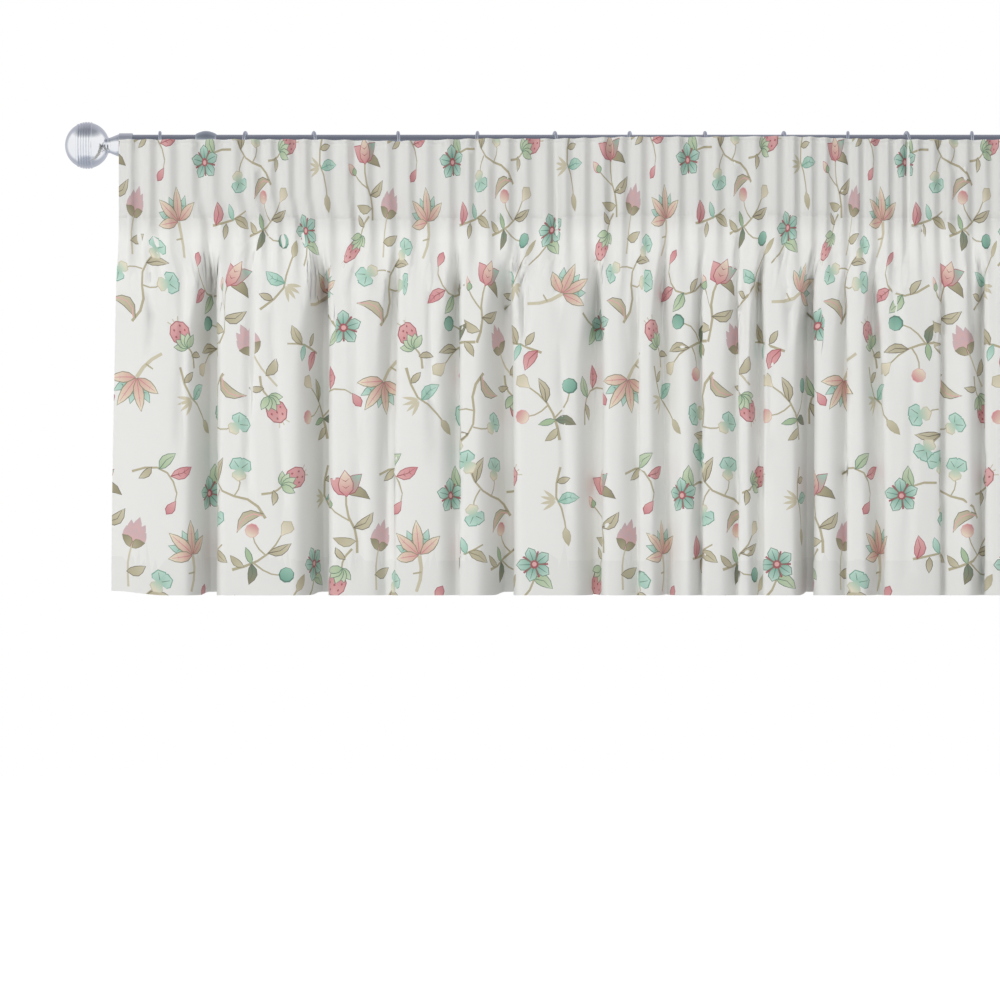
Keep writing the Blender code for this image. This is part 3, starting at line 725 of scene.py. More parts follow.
quarterPleat = np.min(np.diff(ringX)) / cloth["pleatsPerGap"] / 4 - cloth["pleatWander"]
pleatMitre = math.hypot(quarterPleat, (1.0 - cloth["pleatFlank"]) * cloth["pleatSwing"]) / quarterPleat
solidTapeBack = 0.0019          # the plain tape's back, behind the cloth's middle
headingY = (-rod["standoff"] - ringReach - cloth["ringClearance"]
            - solidTapeBack * pleatMitre - cloth["pleatSwing"])
valleyX = np.array([clothLeft, *(tableColumn(valleyTable, valleyColumns, "x") * mm), clothRight])
valleyDrift = np.array([-cloth["endFlare"],
                        *(tableColumn(valleyTable, valleyColumns, "drift") * mm), cloth["endFlare"]])
valleySizes = {name: np.array([0.0, *(tableColumn(valleyTable, valleyColumns, name) * mm), 0.0])
               for name in valleyColumns[2:-1]}
valleyLap = np.array([0.0, *tableColumn(valleyTable, valleyColumns, "lap"), 0.0])


def opening(depth):     # how far the folds are open, from 0 at the heading to 1
    return smooth((depth - cloth["headingDepth"]) / cloth["foldOpen"])


def valleyAt(index, depth):     # place, depth and slope widths of one valley at one depth of the cloth
    place = valleyX[index] + valleyDrift[index] * smooth(depth / cloth["drop"])
    upper, lower, hem = (valleySizes[name][index] for name in ("upper", "lower", "hem"))
    first, second, third = valleyDepths
    size = (upper + (lower - upper) * np.clip((depth - first) / (second - first), 0, 1)
            + (hem - lower) * np.clip((depth - second) / (third - second), 0, 1))
    below = (depth - valleySizes["start"][index]) / cloth["foldOpen"]
    spread = cloth["foldNarrow"] + (1.0 - cloth["foldNarrow"]) * smooth(below / 2.0)
    left, floor, right = (valleySizes[name][index] * spread for name in ("left", "floor", "right"))
    return place, size * smooth(below), left, floor, right


def slope(run, width):      # height over a valley's bottom, steepest there and level at the top
    ease = cloth["foldEase"]
    share = np.clip(run / np.maximum(width, mm), 0.0, 1.0)
    eased = (np.hypot(share, ease) - ease) / (math.hypot(1.0, ease) - ease)
    return 1.0 - (1.0 - eased) ** 2


def lappedSlope(run, width, lap):   # height over the valley's bottom, and how far the cloth moves across
    share = np.clip(run / np.maximum(width, mm), 0.0, 1.0)
    turned = share - cloth["lapRoll"] * np.sin(4 * math.pi * share)
    laid = smooth(cloth["lapRollRate"] * lap)
    rise = slope(run, width)
    return rise + (turned - rise) * laid, lap * width * np.sin(math.tau * share)


def skirtLine(phase, depth):    # plan of the skirt, for phases counted in ridges from the left
    ridge = np.clip(phase.astype(int), 0, len(valleyX) - 2)
    share = phase - ridge
    start, startDeep, _, startFloor, startSlope = valleyAt(ridge, depth)
    end, endDeep, endSlope, endFloor, _ = valleyAt(ridge + 1, depth)
    width = end - start
    grown = smooth((depth - cloth["headingDepth"] - cloth["lapStart"]) / cloth["lapOpen"])
    needs, (startEase, endEase) = cloth["lapNeeds"], cloth["lapEase"]
    startLap = np.maximum(valleyLap[ridge], 0.0) * grown * smooth((startDeep - needs) / startEase)
    endLap = np.maximum(-valleyLap[ridge + 1], 0.0) * grown * smooth((endDeep - needs) / endEase)
    rise, ahead = lappedSlope(share * width - 0.5 * startFloor, startSlope, startLap)
    fall, behind = lappedSlope((1.0 - share) * width - 0.5 * endFloor, endSlope, endLap)
    sunk = startDeep * (1.0 - rise) + endDeep * (1.0 - fall)
    crown = np.sin(math.pi * share) * opening(depth)
    return (start + share * width + ahead - behind,
            headingY - cloth["crestForward"] + sunk - cloth["ridgeCrown"] * crown)


phaseSteps = 200
finePhase = np.linspace(0.0, len(valleyX) - 1.0, phaseSteps * (len(valleyX) - 1) + 1)
fineX, fineY = skirtLine(finePhase, np.full(len(finePhase), valleyDepths[1]))
fineRun = np.concatenate([[0.0], np.cumsum(np.hypot(np.diff(fineX), np.diff(fineY)))])
ridgeRuns = fineRun[::phaseSteps]
headingKnown = [0, *ringColumnsAt, columnCount]
headingPlaces = [clothLeft, *ringX, clothRight]
boundsByRun = ridgeRuns * columnCount / fineRun[-1]
boundsByPleat = np.interp(valleyX, headingPlaces, headingKnown)
ridgeBounds = boundsByRun + cloth["foldUnderPleats"] * (boundsByPleat - boundsByRun)
flatWidth = fineRun[-1]


def pleatUneven(column):    # how a column differs from an even pleat, and 0 at the rings
    fast, slow, shift = cloth["unevenWaves"]
    wander = np.sin(fast * column) * np.sin(slow * column + shift)
    wander *= np.sin(math.pi * (column / 4 - cloth["endPleats"]) / cloth["pleatsPerGap"]) ** 2
    return wander * smooth(np.minimum(column, columnCount - column))


def pleatSwing(column):     # in front of the heading's middle (-) or behind it
    turn = 0.5 * math.pi * column
    wave = np.cos(turn) + cloth["pleatFlank"] * np.sin(turn) ** 2
    uneven = pleatUneven(column)
    return cloth["pleatSwing"] * wave * (1.0 + cloth["pleatUneven"] * np.where(wave < 0, uneven,
                                                                             -np.abs(uneven)))


def pleatsAt(run, depth, foldX):    # swing of the pleats, which hang straight down under the heading
    headX = np.interp(np.interp(run, ridgeRuns, ridgeBounds), headingKnown, headingPlaces)
    below = depth - cloth["headingDepth"]
    x = headX + (foldX - headX) * opening(depth)
    first, last = cloth["leanEnds"]
    lean = smooth((x - first) / cloth["leanEase"]) * (1.0 - smooth((x - first) / (last - first)))
    x = x - cloth["pleatLean"] * lean * smooth((below + cloth["leanAbove"]) / cloth["leanGrow"])
    return pleatSwing(np.interp(x, headingPlaces, headingKnown)) * (1.0 - smooth(below / cloth["pleatFade"]))


def creases(x, depth):      # small soft troughs
    sunk = np.zeros(len(x))
    come, go = cloth["creaseEase"]
    for row in creaseTable:
        at, drift, top, bottom, wide, deep = (value * mm for value in row)
        middle = at + drift * smooth((depth - top) / (bottom - top))
        window = smooth((depth - top) / come) * smooth((bottom - depth) / go)
        sunk += deep * window * smooth(1.0 - np.abs(x - middle) / wide)
    return sunk


def clothMiddle(run, depth):    # middle of the cloth's thickness, from the flat cloth
    column = np.interp(run, ridgeRuns, ridgeBounds)
    phase = np.interp(run, fineRun, finePhase)
    foldX, foldY = skirtLine(phase, depth)
    headX = np.interp(column, headingKnown, headingPlaces)
    opened = opening(depth)
    fallen = smooth(depth / cloth["drop"])
    pleatX = headX + cloth["pleatWander"] * pleatUneven(column)
    x = pleatX + (foldX - pleatX) * opened
    swing = pleatsAt(run, depth, foldX)
    y = headingY + (foldY - headingY) * opened + swing + creases(x, depth)
    for stitched in cloth["stitches"]:
        y += cloth["stitchPull"] * np.exp(-((depth - stitched) / cloth["stitchWidth"]) ** 2)
    left = clothLeft - cloth["endFlare"] * fallen
    right = clothRight + cloth["endFlare"] * fallen
    ends = np.minimum(x - left, right - x)
    lift = cloth["cornerLift"] * (1.0 - smooth(ends / cloth["cornerWidth"])) * opened
    top = np.interp(headX, ringX, topLift)
    shallow, deep = cloth["dipSunk"]
    sunk = foldY - (headingY - cloth["crestForward"])
    dip = cloth["hemDip"] * (1.0 - smooth((sunk - shallow) / (deep - shallow)))
    ruffle = cloth["topRuffle"] * swing / cloth["pleatSwing"] * (1.0 - smooth(depth / cloth["ruffleFade"]))
    z = cloth["top"] + top - depth - (top + dip) * fallen + lift - ruffle
    return np.stack([x, y, z], axis=1)


def clothFrame(run, depth):     # points on the middle of the cloth, and the way it faces
    step = 0.0002
    middle = clothMiddle(run, depth)
    across = clothMiddle(np.minimum(run + step, flatWidth), depth)
    across = across - clothMiddle(np.maximum(run - step, 0.0), depth)
    down = clothMiddle(run, np.minimum(depth + step, cloth["drop"]))
    down = down - clothMiddle(run, np.maximum(depth - step, 0.0))
    facing = np.cross(down, across)
    facing /= np.linalg.norm(facing, axis=1)[:, None]
    return middle, facing


def halfThickness(depth):
    hem = smooth((depth - hemLine) / cloth["hemStep"])
    return 0.5 * (cloth["thickness"] + (cloth["hemThickness"] - cloth["thickness"]) * hem)


# Depths of the rows of points: close together at the two lines of stitches and the hem's step
rowDepths = (0.0, 0.0010, 0.0024, 0.0030, 0.0036, 0.0060, 0.014, 0.030, 0.048, 0.0620, 0.0682, 0.0690,
             0.0698, 0.0710, 0.0740, 0.080, 0.088, 0.096, 0.104, 0.113, 0.122, 0.131, 0.142, 0.154,
             0.168, 0.190, 0.215, 0.240, 0.265, 0.290, 0.320, 0.345, 0.3655, 0.3667, 0.375, 0.386,
             cloth["drop"])
backHeading = (0.0, 0.0030, 0.018, 0.050)   # the back's rows above the lower stitches
frontOnly = (0.0698, 0.0710, 0.088)         # and the rows below them that it leaves out
headingEnd = 0.098      # columns stand closer above this depth
skirtColumns = 500
columnPitch = 0.0030    # columns stand about this far apart, and closer where the cloth turns
columnTurn = 0.16
closest = 0.0001        # the back's columns stand at least this far apart
stripWidth = 0.1        # the flat front is cut in strips
stripClear = 2e-4       # points on the sides of a strip have no other points so near
snapDistance = 3e-5     # the print's points this near a strip's side are moved onto it
cutPrecision = 1e-7
onSide = 1e-6           # points this near the side of a strip lie on it
onEdge = 2e-6           # and this near the cloth's edge, on that
squash = 0.15           # the flat cloth is cut into triangles at this share of its height


def headingRuns():      # eight columns to a pleat
    columns = np.linspace(0.0, columnCount, 2 * columnCount + 1)
    return np.interp(columns, ridgeBounds, ridgeRuns)


def skirtRuns():        # columns that bunch where the folds turn
    heading = np.unwrap(np.arctan2(np.diff(fineY), np.diff(fineX)))
    turning = np.abs(np.diff(heading, prepend=heading[0]))
    weight = np.concatenate([[0.0], np.cumsum(np.diff(fineRun) / columnPitch + turning / columnTurn)])
    return np.interp(np.linspace(0.0, weight[-1], skirtColumns), weight, fineRun)


def cutStrip(left, right, runs, patches):
    edges, faces = [], []
    points = [(run, depth) for run, depth in runs if left + stripClear < run < right - stripClear]
    corner = len(points)
    for run in (left, right):
        line = [(run, depth) for depth in rowDepths]
        edges += [(len(points) + i, len(points) + i + 1) for i in range(len(line) - 1)]
        points += line
    edges += [(corner, corner + len(rowDepths)),
              (corner + len(rowDepths) - 1, corner + 2 * len(rowDepths) - 1)]
    used = []
    for number, (outline, *_) in enumerate(patches):
        if outline[:, 0].max() < left or outline[:, 0].min() > right:
            continue
        faces.append(list(range(len(points), len(points) + len(outline))))
        points += [tuple(p) for p in outline]
        used.append(number)
    flat = [Vector((x, y * squash)) for x, y in points]
    cut = delaunay_2d_cdt(flat, edges, faces, 0, cutPrecision)
    verts = np.array([tuple(v) for v in cut[0]]) / (1.0, squash)
    tris = np.array(cut[2])
    top = np.array([used[max(o)] if o else -1 for o in cut[5]])
    middle = verts[tris].mean(axis=1)
    inside = ((middle[:, 0] > left) & (middle[:, 0] < right)
              & (middle[:, 1] > 0) & (middle[:, 1] < cloth["drop"]))
    return verts, tris[inside], top[inside]


def cutCloth(patches):      # the flat front, in triangles with one ink each
    lines = np.arange(stripWidth, flatWidth - stripWidth / 2, stripWidth)
    lines = np.concatenate([[0.0], lines, [flatWidth]])
    snapped = []
    for outline, *rest in patches:
        nearest = lines[np.argmin(np.abs(outline[:, :1] - lines), axis=1)]
        close = np.abs(outline[:, 0] - nearest) < snapDistance
        outline = outline.copy()
        outline[close, 0] = nearest[close]
        snapped.append((outline, *rest))
    above = [(r, d) for d in rowDepths if d <= headingEnd for r in headingRuns()]
    below = [(r, d) for d in rowDepths if d > headingEnd for r in skirtRuns()]
    verts, tris, tops = [], [], []
    count = 0
    for left, right in zip(lines, lines[1:]):
        v, t, top = cutStrip(left, right, above + below, snapped)
        verts.append(v)
        tris.append(t + count)
        tops.append(top)
        count += len(v)
    verts, tris, tops = np.vstack(verts), np.vstack(tris), np.concatenate(tops)
    key = np.arange(len(verts))
    onLine = np.min(np.abs(verts[:, :1] - lines), axis=1) < onSide
    shared = {}
    for i in np.unique(tris):
        if onLine[i]:
            across, down = round(verts[i, 0] / 1e-4), round(verts[i, 1] / 1e-5)
            for near in ((across, down), (across, down - 1), (across, down + 1)):
                if near in shared:
                    key[i] = shared[near]
                    break
            else:
                shared[across, down] = i
    tris = key[tris]
    whole = ((tris[:, 0] != tris[:, 1]) & (tris[:, 1] != tris[:, 2]) & (tris[:, 2] != tris[:, 0]))
    tris, tops = tris[whole], tops[whole]
    kept, back = np.unique(tris, return_inverse=True)
    return verts[kept], back.reshape(-1, 3), tops


def zipped(first, second, firstAt, secondAt):   # triangles between two lines of points
    i = j = 0
    made = []
    while i < len(first) - 1 or j < len(second) - 1:
        ahead = j == len(second) - 1 or (i < len(first) - 1 and firstAt[i + 1] <= secondAt[j + 1])
        if ahead:
            made.append((first[i], second[j], first[i + 1]))
            i += 1
        else:
            made.append((first[i], second[j], second[j + 1]))
            j += 1
    return np.array(made)


def meshObject(name, verts, faces, material, uv=None, paint=None, facings=None):
    mesh = bpy.data.meshes.new(name)
    mesh.from_pydata([tuple(v) for v in verts], [], [tuple(f) for f in faces])
    mesh.update()
    mesh.shade_smooth()
    if uv is not None:
        layer = mesh.uv_layers.new(name="flat")
        layer.data.foreach_set("uv", np.asarray(uv, dtype=np.float32).ravel())
    if paint is not None:
        layer = mesh.color_attributes.new("ink", "FLOAT_COLOR", "CORNER")
        layer.data.foreach_set("color", np.asarray(paint, dtype=np.float32).ravel())
    if facings is not None:
        mesh.normals_split_custom_set([tuple(n) for n in facings])
    mesh.materials.append(material)
    piece = bpy.data.objects.new(name, mesh)
    bpy.context.scene.collection.objects.link(piece)
    return piece


def cells(index):       # the corners of each cell in a grid of points: two above and two below
    return index[:-1, :-1], index[:-1, 1:], index[1:, :-1], index[1:, 1:]


def faceRows(*corners):
    return np.stack(corners, axis=-1).reshape(-1, len(corners))


def inkAt(patches, which, places):      # the colour of each place in its patch
    firsts, seconds, starts, ends = (np.array([p[k] for p in patches]) for k in range(1, 5))
    axes = ends - starts
    axes /= np.sum(axes ** 2, axis=1)[:, None]
    share = np.clip(np.sum((places - starts[which]) * axes[which], axis=1), 0, 1)[:, None]
    return firsts[which] + (seconds[which] - firsts[which]) * share


def makeCloth():
    patches = printPatches(flatWidth, cloth["drop"])
    flat, tris, tops = cutCloth(patches)
    print("cloth cut:", len(patches), "patches,", len(tris), "triangles in front")
    run, depth = flat[:, 0], flat[:, 1]
    middle, facing = clothFrame(run, depth)
    front = middle + facing * halfThickness(depth)[:, None]
    backRuns = skirtRuns()
    backRuns = backRuns[np.concatenate([[True], np.diff(backRuns) > closest])]
    backRuns[-1] = flatWidth
    lower = [d for d in rowDepths if d >= cloth["stitches"][1] and d not in frontOnly]
    backRows = np.array([*backHeading, *lower])
    gridRun, gridDepth = (values.ravel() for values in np.meshgrid(backRuns, backRows))
    backMiddle, backFacing = clothFrame(gridRun, gridDepth)
    back = backMiddle - backFacing * halfThickness(gridDepth)[:, None]
    index = len(front) + np.arange(len(back)).reshape(len(backRows), len(backRuns))
    a, b, c, d = cells(index)
    rims = []
    for at, value, other, line, flip in (
        (1, 0.0, 0, index[0], True), (1, cloth["drop"], 0, index[-1], False),
        (0, 0.0, 1, index[:, 0], False), (0, flatWidth, 1, index[:, -1], True),
    ):
        near = np.nonzero(np.abs(flat[:, at] - value) < onEdge)[0]
        near = near[np.argsort(flat[near, other])]
        strip = zipped(near, line, flat[near, other], backRuns if other == 0 else backRows)
        rims.append(strip[:, ::-1] if flip else strip)
    rimless = np.vstack([tris[:, ::-1], faceRows(a, b, d), faceRows(a, d, c)])
    faces = np.vstack([rimless, *rims])
    corners = faces.ravel()
    cornerRun = np.concatenate([run, gridRun])[corners]
    cornerDepth = np.concatenate([depth, gridDepth])[corners]
    paint = np.tile(inks["ground"], (len(corners), 1))
    inked = np.repeat(tops, 3)
    spots = np.nonzero(inked >= 0)[0]
    places = np.stack([cornerRun[spots], cornerDepth[spots]], axis=1)
    paint[spots] = inkAt(patches, inked[spots], places)
    # painted shade: darker colours where the hem is double, for the light the two layers keep from shining
    # through
    middleDepth = np.repeat(depth[tris[:, ::-1]].mean(axis=1), 3)
    paintedShade = np.where(middleDepth > hemLine, cloth["hemPaintedShade"], 1.0)
    # painted shade over the gathered heading, for the shade in its gathers and the light its tape keeps from
    # shining through; it fades out below the heading
    above, grow = cloth["paintedShadeFade"]
    below = smooth((cornerDepth[:3 * len(tris)] - cloth["headingDepth"] + above) / grow)
    paintedShade *= cloth["headingPaintedShade"] + (1.0 - cloth["headingPaintedShade"]) * below
    paint[:3 * len(tris)] *= paintedShade[:, None]
    facings = np.vstack([facing, -backFacing])[corners]
    facings[3 * len(rimless):] = 0.0
    piece = meshObject("valanceCloth", np.vstack([front, back]), faces, printedCotton,
                       np.stack([cornerRun, -cornerDepth], axis=1),
                       np.column_stack([paint, np.ones(len(paint))]), facings)
    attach(piece, "root")
    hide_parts("valance_cloth")
    return piece


valanceCloth = makeCloth()
print("cloth ready")


# Gathering tape

tape = {
    "top": 0.004,           # below the cloth's top edge
    "bottom": 0.0715,
    "thickness": 0.0010,
    "edge": 0.0008,         # between the two rows of points at its top and its bottom
    "behind": 0.0026,       # from the cloth's middle to the tape's middle
    "swingShare": 0.55,     # share of the pleats' swing that the tape follows
    "ribs": (0.0110, 0.0375, 0.0640),   # depths of the woven pockets' rows
    "ribRise": 0.0006,
    "ribWidth": 0.0055,
    "ribEdge": 0.0007,
}


def tapeMiddle(run, depth):
    middle = clothMiddle(run, depth)
    foldX, _ = skirtLine(np.interp(run, fineRun, finePhase), depth)
    middle[:, 1] += tape["behind"] - pleatsAt(run, depth, foldX) * (1.0 - tape["swingShare"])
    return middle


def makeTape():
    runs = headingRuns()[4:-4]      # the tape ends half a pleat inside the cloth
    depths = [tape["top"], tape["top"] + tape["edge"]]
    half, edge = tape["ribWidth"] / 2, tape["ribEdge"]
    for rib in tape["ribs"]:
        depths += [rib - half, rib - half + edge, rib + half - edge, rib + half]
    depths += [tape["bottom"] - tape["edge"], tape["bottom"]]
    depths = np.array(sorted(depths))
    rise = np.zeros(len(depths))
    for rib in tape["ribs"]:
        rise[np.abs(depths - rib) < half - edge / 2] = tape["ribRise"]
    gridRun, gridDepth = np.meshgrid(runs, depths)
    middle = tapeMiddle(gridRun.ravel(), gridDepth.ravel())
    half = tape["thickness"] / 2
    front, back = middle.copy(), middle.copy()
    front[:, 1] -= half
    back[:, 1] += half + np.repeat(rise, len(runs))
    index = np.arange(len(front)).reshape(len(depths), len(runs))
    a, b, c, d = cells(index)
    faces = [faceRows(a, c, d, b), faceRows(a, b, d, c) + len(front)]
    for line, flip in ((index[0], True), (index[-1], False), (index[:, 0], False), (index[:, -1], True)):
        strip = faceRows(line[:-1], line[:-1] + len(front), line[1:] + len(front), line[1:])
        faces.append(strip[:, ::-1] if flip else strip)
    faces = np.vstack(faces)
    flat = np.stack([gridRun.ravel(), -gridDepth.ravel()], axis=1)
    uv = np.vstack([flat, flat])[faces.ravel()]
    piece = meshObject("headingTape", np.vstack([front, back]), faces, wovenTape, uv)
    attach(piece, "root")
    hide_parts("heading_tape")
    return piece


headingTape = makeTape()
print("tape ready")


# Rod, finials, brackets, rings and hooks

def onlySelect(*pieces):
    bpy.ops.object.select_all(action="DESELECT")
    for piece in pieces:
        piece.select_set(True)
    bpy.context.view_layer.objects.active = pieces[0]


def turnedPiece(name, profile, sides, hollow=False):    # a profile of (along, radius), round Z
    bpy.ops.object.select_all(action="DESELECT")
    along, out = profile[0]
    bpy.ops.mesh.primitive_circle_add(vertices=sides, radius=out, location=(0, 0, 0),
                                      fill_type="NOTHING" if hollow else "NGON")
    piece = bpy.context.object
    piece.name = name
    bpy.ops.object.mode_set(mode="EDIT")
    bpy.ops.mesh.select_all(action="SELECT")
    bpy.ops.transform.translate(value=(0, 0, along))
    for nextAlong, nextOut in profile[1:]:
        bpy.ops.mesh.extrude_region_move(TRANSFORM_OT_translate={"value": (0, 0, nextAlong - along)})
        if nextOut != out:
            bpy.ops.transform.resize(value=(nextOut / out, nextOut / out, 1),
                                     center_override=(0, 0, nextAlong))
        along, out = nextAlong, nextOut
    bpy.ops.mesh.select_all(action="SELECT")
    bpy.ops.mesh.remove_doubles(threshold=1e-6)
    bpy.ops.mesh.normals_make_consistent(inside=False)
    bpy.ops.object.mode_set(mode="OBJECT")
    return piece


def settle(piece, place=(0, 0, 0), turn=(0, 0, 0)):     # turns and moves a piece within its mesh
    onlySelect(piece)
    piece.rotation_euler = turn
    piece.location = place
    bpy.ops.object.transform_apply(location=True, rotation=True, scale=True)


def union(piece, *others):
    for other in others:
        joint = piece.modifiers.new("union", "BOOLEAN")
        joint.operation = "UNION"
        joint.solver = "EXACT"
        joint.object = other
        onlySelect(piece)
        bpy.ops.object.modifier_apply(modifier="union")
        bpy.data.objects.remove(other)


def finishPiece(piece, name, material, node, angle=32):
    piece.name = piece.data.name = name
    piece.data.materials.clear()
    piece.data.materials.append(material)
    onlySelect(piece)
    bpy.ops.object.shade_smooth_by_angle(angle=math.radians(angle))
    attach(piece, "root")
    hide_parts(node)


def copyOf(piece):
    other = piece.copy()
    other.data = piece.data.copy()
    bpy.context.scene.collection.objects.link(other)
    return other


def makeRod():
    left, right = -rod["overhang"], rod["span"] + rod["overhang"]
    chamfer, out = rod["chamfer"], rod["radius"]
    profile = [(left, out - chamfer), (left + chamfer, out), (right - chamfer, out), (right, out - chamfer)]
    piece = turnedPiece("rodPole", profile, rod["sides"])
    settle(piece, (0, -rod["standoff"], 0), (0, math.pi / 2, 0))
    finishPiece(piece, "rodPole", rodChrome, "rod")


def finialProfile():    # from the ball's far pole to the bottom of the sleeve's bore
    middle, ball, reach = -finial["ballOut"], finial["ball"], finial["ballHalf"]

    def out(along):
        return ball * math.sqrt(1.0 - (along / reach) ** 2)

    def turnAt(along):
        return math.acos(along / reach)

    profile = [(middle - reach, 0.0003)]
    for angle in np.linspace(math.pi - math.radians(5), turnAt(finial["bandStart"]), 14):
        profile.append((middle + reach * math.cos(angle), ball * math.sin(angle)))
    half = finial["grooveWidth"] / 2
    start, end = finial["bandStart"] + 0.0003, finial["bandEnd"] - 0.0003
    profile.append((middle + start, out(start) + finial["bandRaise"]))
    for groove in range(finial["grooves"]):
        at = finial["bandStart"] + finial["groovePitch"] * (groove + 1)
        for share, deep in ((-1, 0.0), (-0.6, 0.7), (-0.2, 1.0), (0.2, 1.0), (0.6, 0.7), (1, 0.0)):
            along = at + share * half
            profile.append((middle + along,
                            out(along) + finial["bandRaise"] - deep * finial["grooveDepth"]))
    profile.append((middle + end, out(end) + finial["bandRaise"]))
    fillet = reach * math.sqrt(1.0 - (finial["fillet"] / ball) ** 2)
    for angle in np.linspace(turnAt(finial["bandEnd"]), turnAt(fillet), 13):
        profile.append((middle + reach * math.cos(angle), ball * math.sin(angle)))
    neck, cone = finial["neck"], finial["cone"]
    sleeve, length = finial["sleeve"], finial["sleeveLength"]
    bore = rod["radius"] + rod["clearance"]
    foot = middle + fillet
    profile += [
        (foot + 0.0003, neck + 0.0004), (foot + 0.0007, neck + 0.0001), (foot + 0.0012, neck),
        (foot + 0.0019, neck + 0.00015), (foot + 0.0028, neck + 0.0005), (-0.0030, cone - 0.0009),
        (-0.0010, cone - 0.0001), (-0.0004, cone), (-0.0004, sleeve - 0.0007), (-0.0001, sleeve - 0.0002),
        (0.0005, sleeve), (length - 0.0006, sleeve), (length - 0.0001, sleeve - 0.0002),
        (length, sleeve - 0.0006), (length, bore), (-0.0003, bore), (-0.0003, 0.0003),
    ]
    return profile


def makeFinials():
    left = turnedPiece("finialLeft", finialProfile(), finial["sides"])
    right = copyOf(left)
    settle(left, (-rod["overhang"], -rod["standoff"], 0), (0, math.pi / 2, 0))
    settle(right, (rod["span"] + rod["overhang"], -rod["standoff"], 0), (0, -math.pi / 2, 0))
    finishPiece(left, "finialLeft", finialChrome, "finial_left")
    finishPiece(right, "finialRight", finialChrome, "finial_right")


def bevelEdges(piece, chosen, width, segments):     # chosen gets the two ends of an edge
    onlySelect(piece)
    bpy.ops.object.mode_set(mode="EDIT")
    bpy.ops.mesh.select_mode(type="EDGE")
    bpy.ops.mesh.select_all(action="DESELECT")
    bpy.ops.object.mode_set(mode="OBJECT")
    verts = piece.data.vertices
    for edge in piece.data.edges:
        edge.select = chosen(*(verts[corner].co for corner in edge.vertices))
    bpy.ops.object.mode_set(mode="EDIT")
    bpy.ops.mesh.bevel(offset=width, offset_type="OFFSET", segments=segments, profile=0.5)
    bpy.ops.mesh.select_mode(type="VERT")
    bpy.ops.object.mode_set(mode="OBJECT")


def makePlate(inner):   # upright, with round ends and a bevelled front
    half, thick = bracket["plateHalf"], bracket["plateThickness"]
    top, bottom = bracket["plateTop"], bracket["plateBottom"]
    bpy.ops.object.select_all(action="DESELECT")
    bpy.ops.mesh.primitive_cube_add(size=1.0, location=(0, 0, 0))
    plate = bpy.context.object
    plate.scale = (2 * half, thick, top - bottom)
    settle(plate, (0, inner + thick / 2, (top + bottom) / 2))
    bevelEdges(plate, lambda a, b: abs(a.y - b.y) > thick / 2, half - 0.0001, 10)
    bevelEdges(plate, lambda a, b: max(a.y, b.y) < inner + 0.0001, bracket["plateBevel"], 3)
    return plate


def makeBracket():
    wide, middle, rim = bracket["halfWidth"], bracket["middle"], bracket["rim"]
    bore = rod["radius"] + rod["clearance"]
    profile = [(-wide, bore), (-wide, rim - 0.0004), (-wide + 0.0004, rim)]
    for step in np.linspace(-0.85, 0.85, 15):
        profile.append((step * wide, rim + (middle - rim) * math.cos(step * math.pi / 2)))
    profile += [(wide - 0.0004, rim), (wide, rim - 0.0004), (wide, bore), (-wide, bore)]
    cup = turnedPiece("cup", profile, bracket["sides"], hollow=True)
    settle(cup, turn=(0, math.pi / 2, 0))
    arm, inner = bracket["arm"], rod["standoff"] - bracket["plateThickness"]
    profile = [(middle - 0.0012, arm), (inner - 0.0030, arm), (inner - 0.0012, arm + 0.0005),
               (inner - 0.0003, arm + 0.0016), (inner + 0.0010, arm + 0.0024)]
    stand = turnedPiece("stand", profile, bracket["sides"])
    settle(stand, turn=(-math.pi / 2, 0, 0))
    union(cup, stand, makePlate(inner))
    out = bracket["screw"]
    for z in bracket["screwsAt"]:
        profile = [(-0.0006, out), (0.0004, out), (0.0010, out * 0.72), (0.0013, out * 0.3)]
        head = turnedPiece("screw", profile, bracket["screwSides"])
        settle(head, (0, inner, z), (math.pi / 2, 0, 0))
        union(cup, head)
    return cup


def makeBrackets():
    left = makeBracket()
    right = copyOf(left)
    settle(left, (0, -rod["standoff"], 0))
    settle(right, (rod["span"], -rod["standoff"], 0))
    finishPiece(left, "bracketLeft", bracketChrome, "bracket_left")
    finishPiece(right, "bracketRight", bracketChrome, "bracket_right")


eyeDrop = ringReach - ring["eyeSink"] + ring["eyeInner"] + 2 * ring["eyeWire"]


def makeRings():
    bpy.ops.object.select_all(action="DESELECT")
    bpy.ops.mesh.primitive_torus_add(
        major_segments=56, minor_segments=12, major_radius=ring["inner"] + ring["wire"],
        minor_radius=ring["wire"], rotation=(0, math.pi / 2, 0))
    hoop = bpy.context.object
    settle(hoop, turn=(0, math.pi / 2, 0))
    bpy.ops.mesh.primitive_torus_add(
        major_segments=24, minor_segments=8, major_radius=ring["eyeInner"] + ring["eyeWire"],
        minor_radius=ring["eyeWire"])
    eye = bpy.context.object
    settle(eye, (0, 0, -eyeDrop), (math.pi / 2, 0, 0))
    union(hoop, eye)
    for number, (x, turn) in enumerate(zip(ringX, ringTurn), start=1):
        piece = copyOf(hoop)
        settle(piece, (x, -rod["standoff"], -ringDrop), (0, 0, math.radians(turn)))
        finishPiece(piece, f"ring{number:02d}", ringWire, f"ring_{number:02d}", 60)
    bpy.data.objects.remove(hoop)


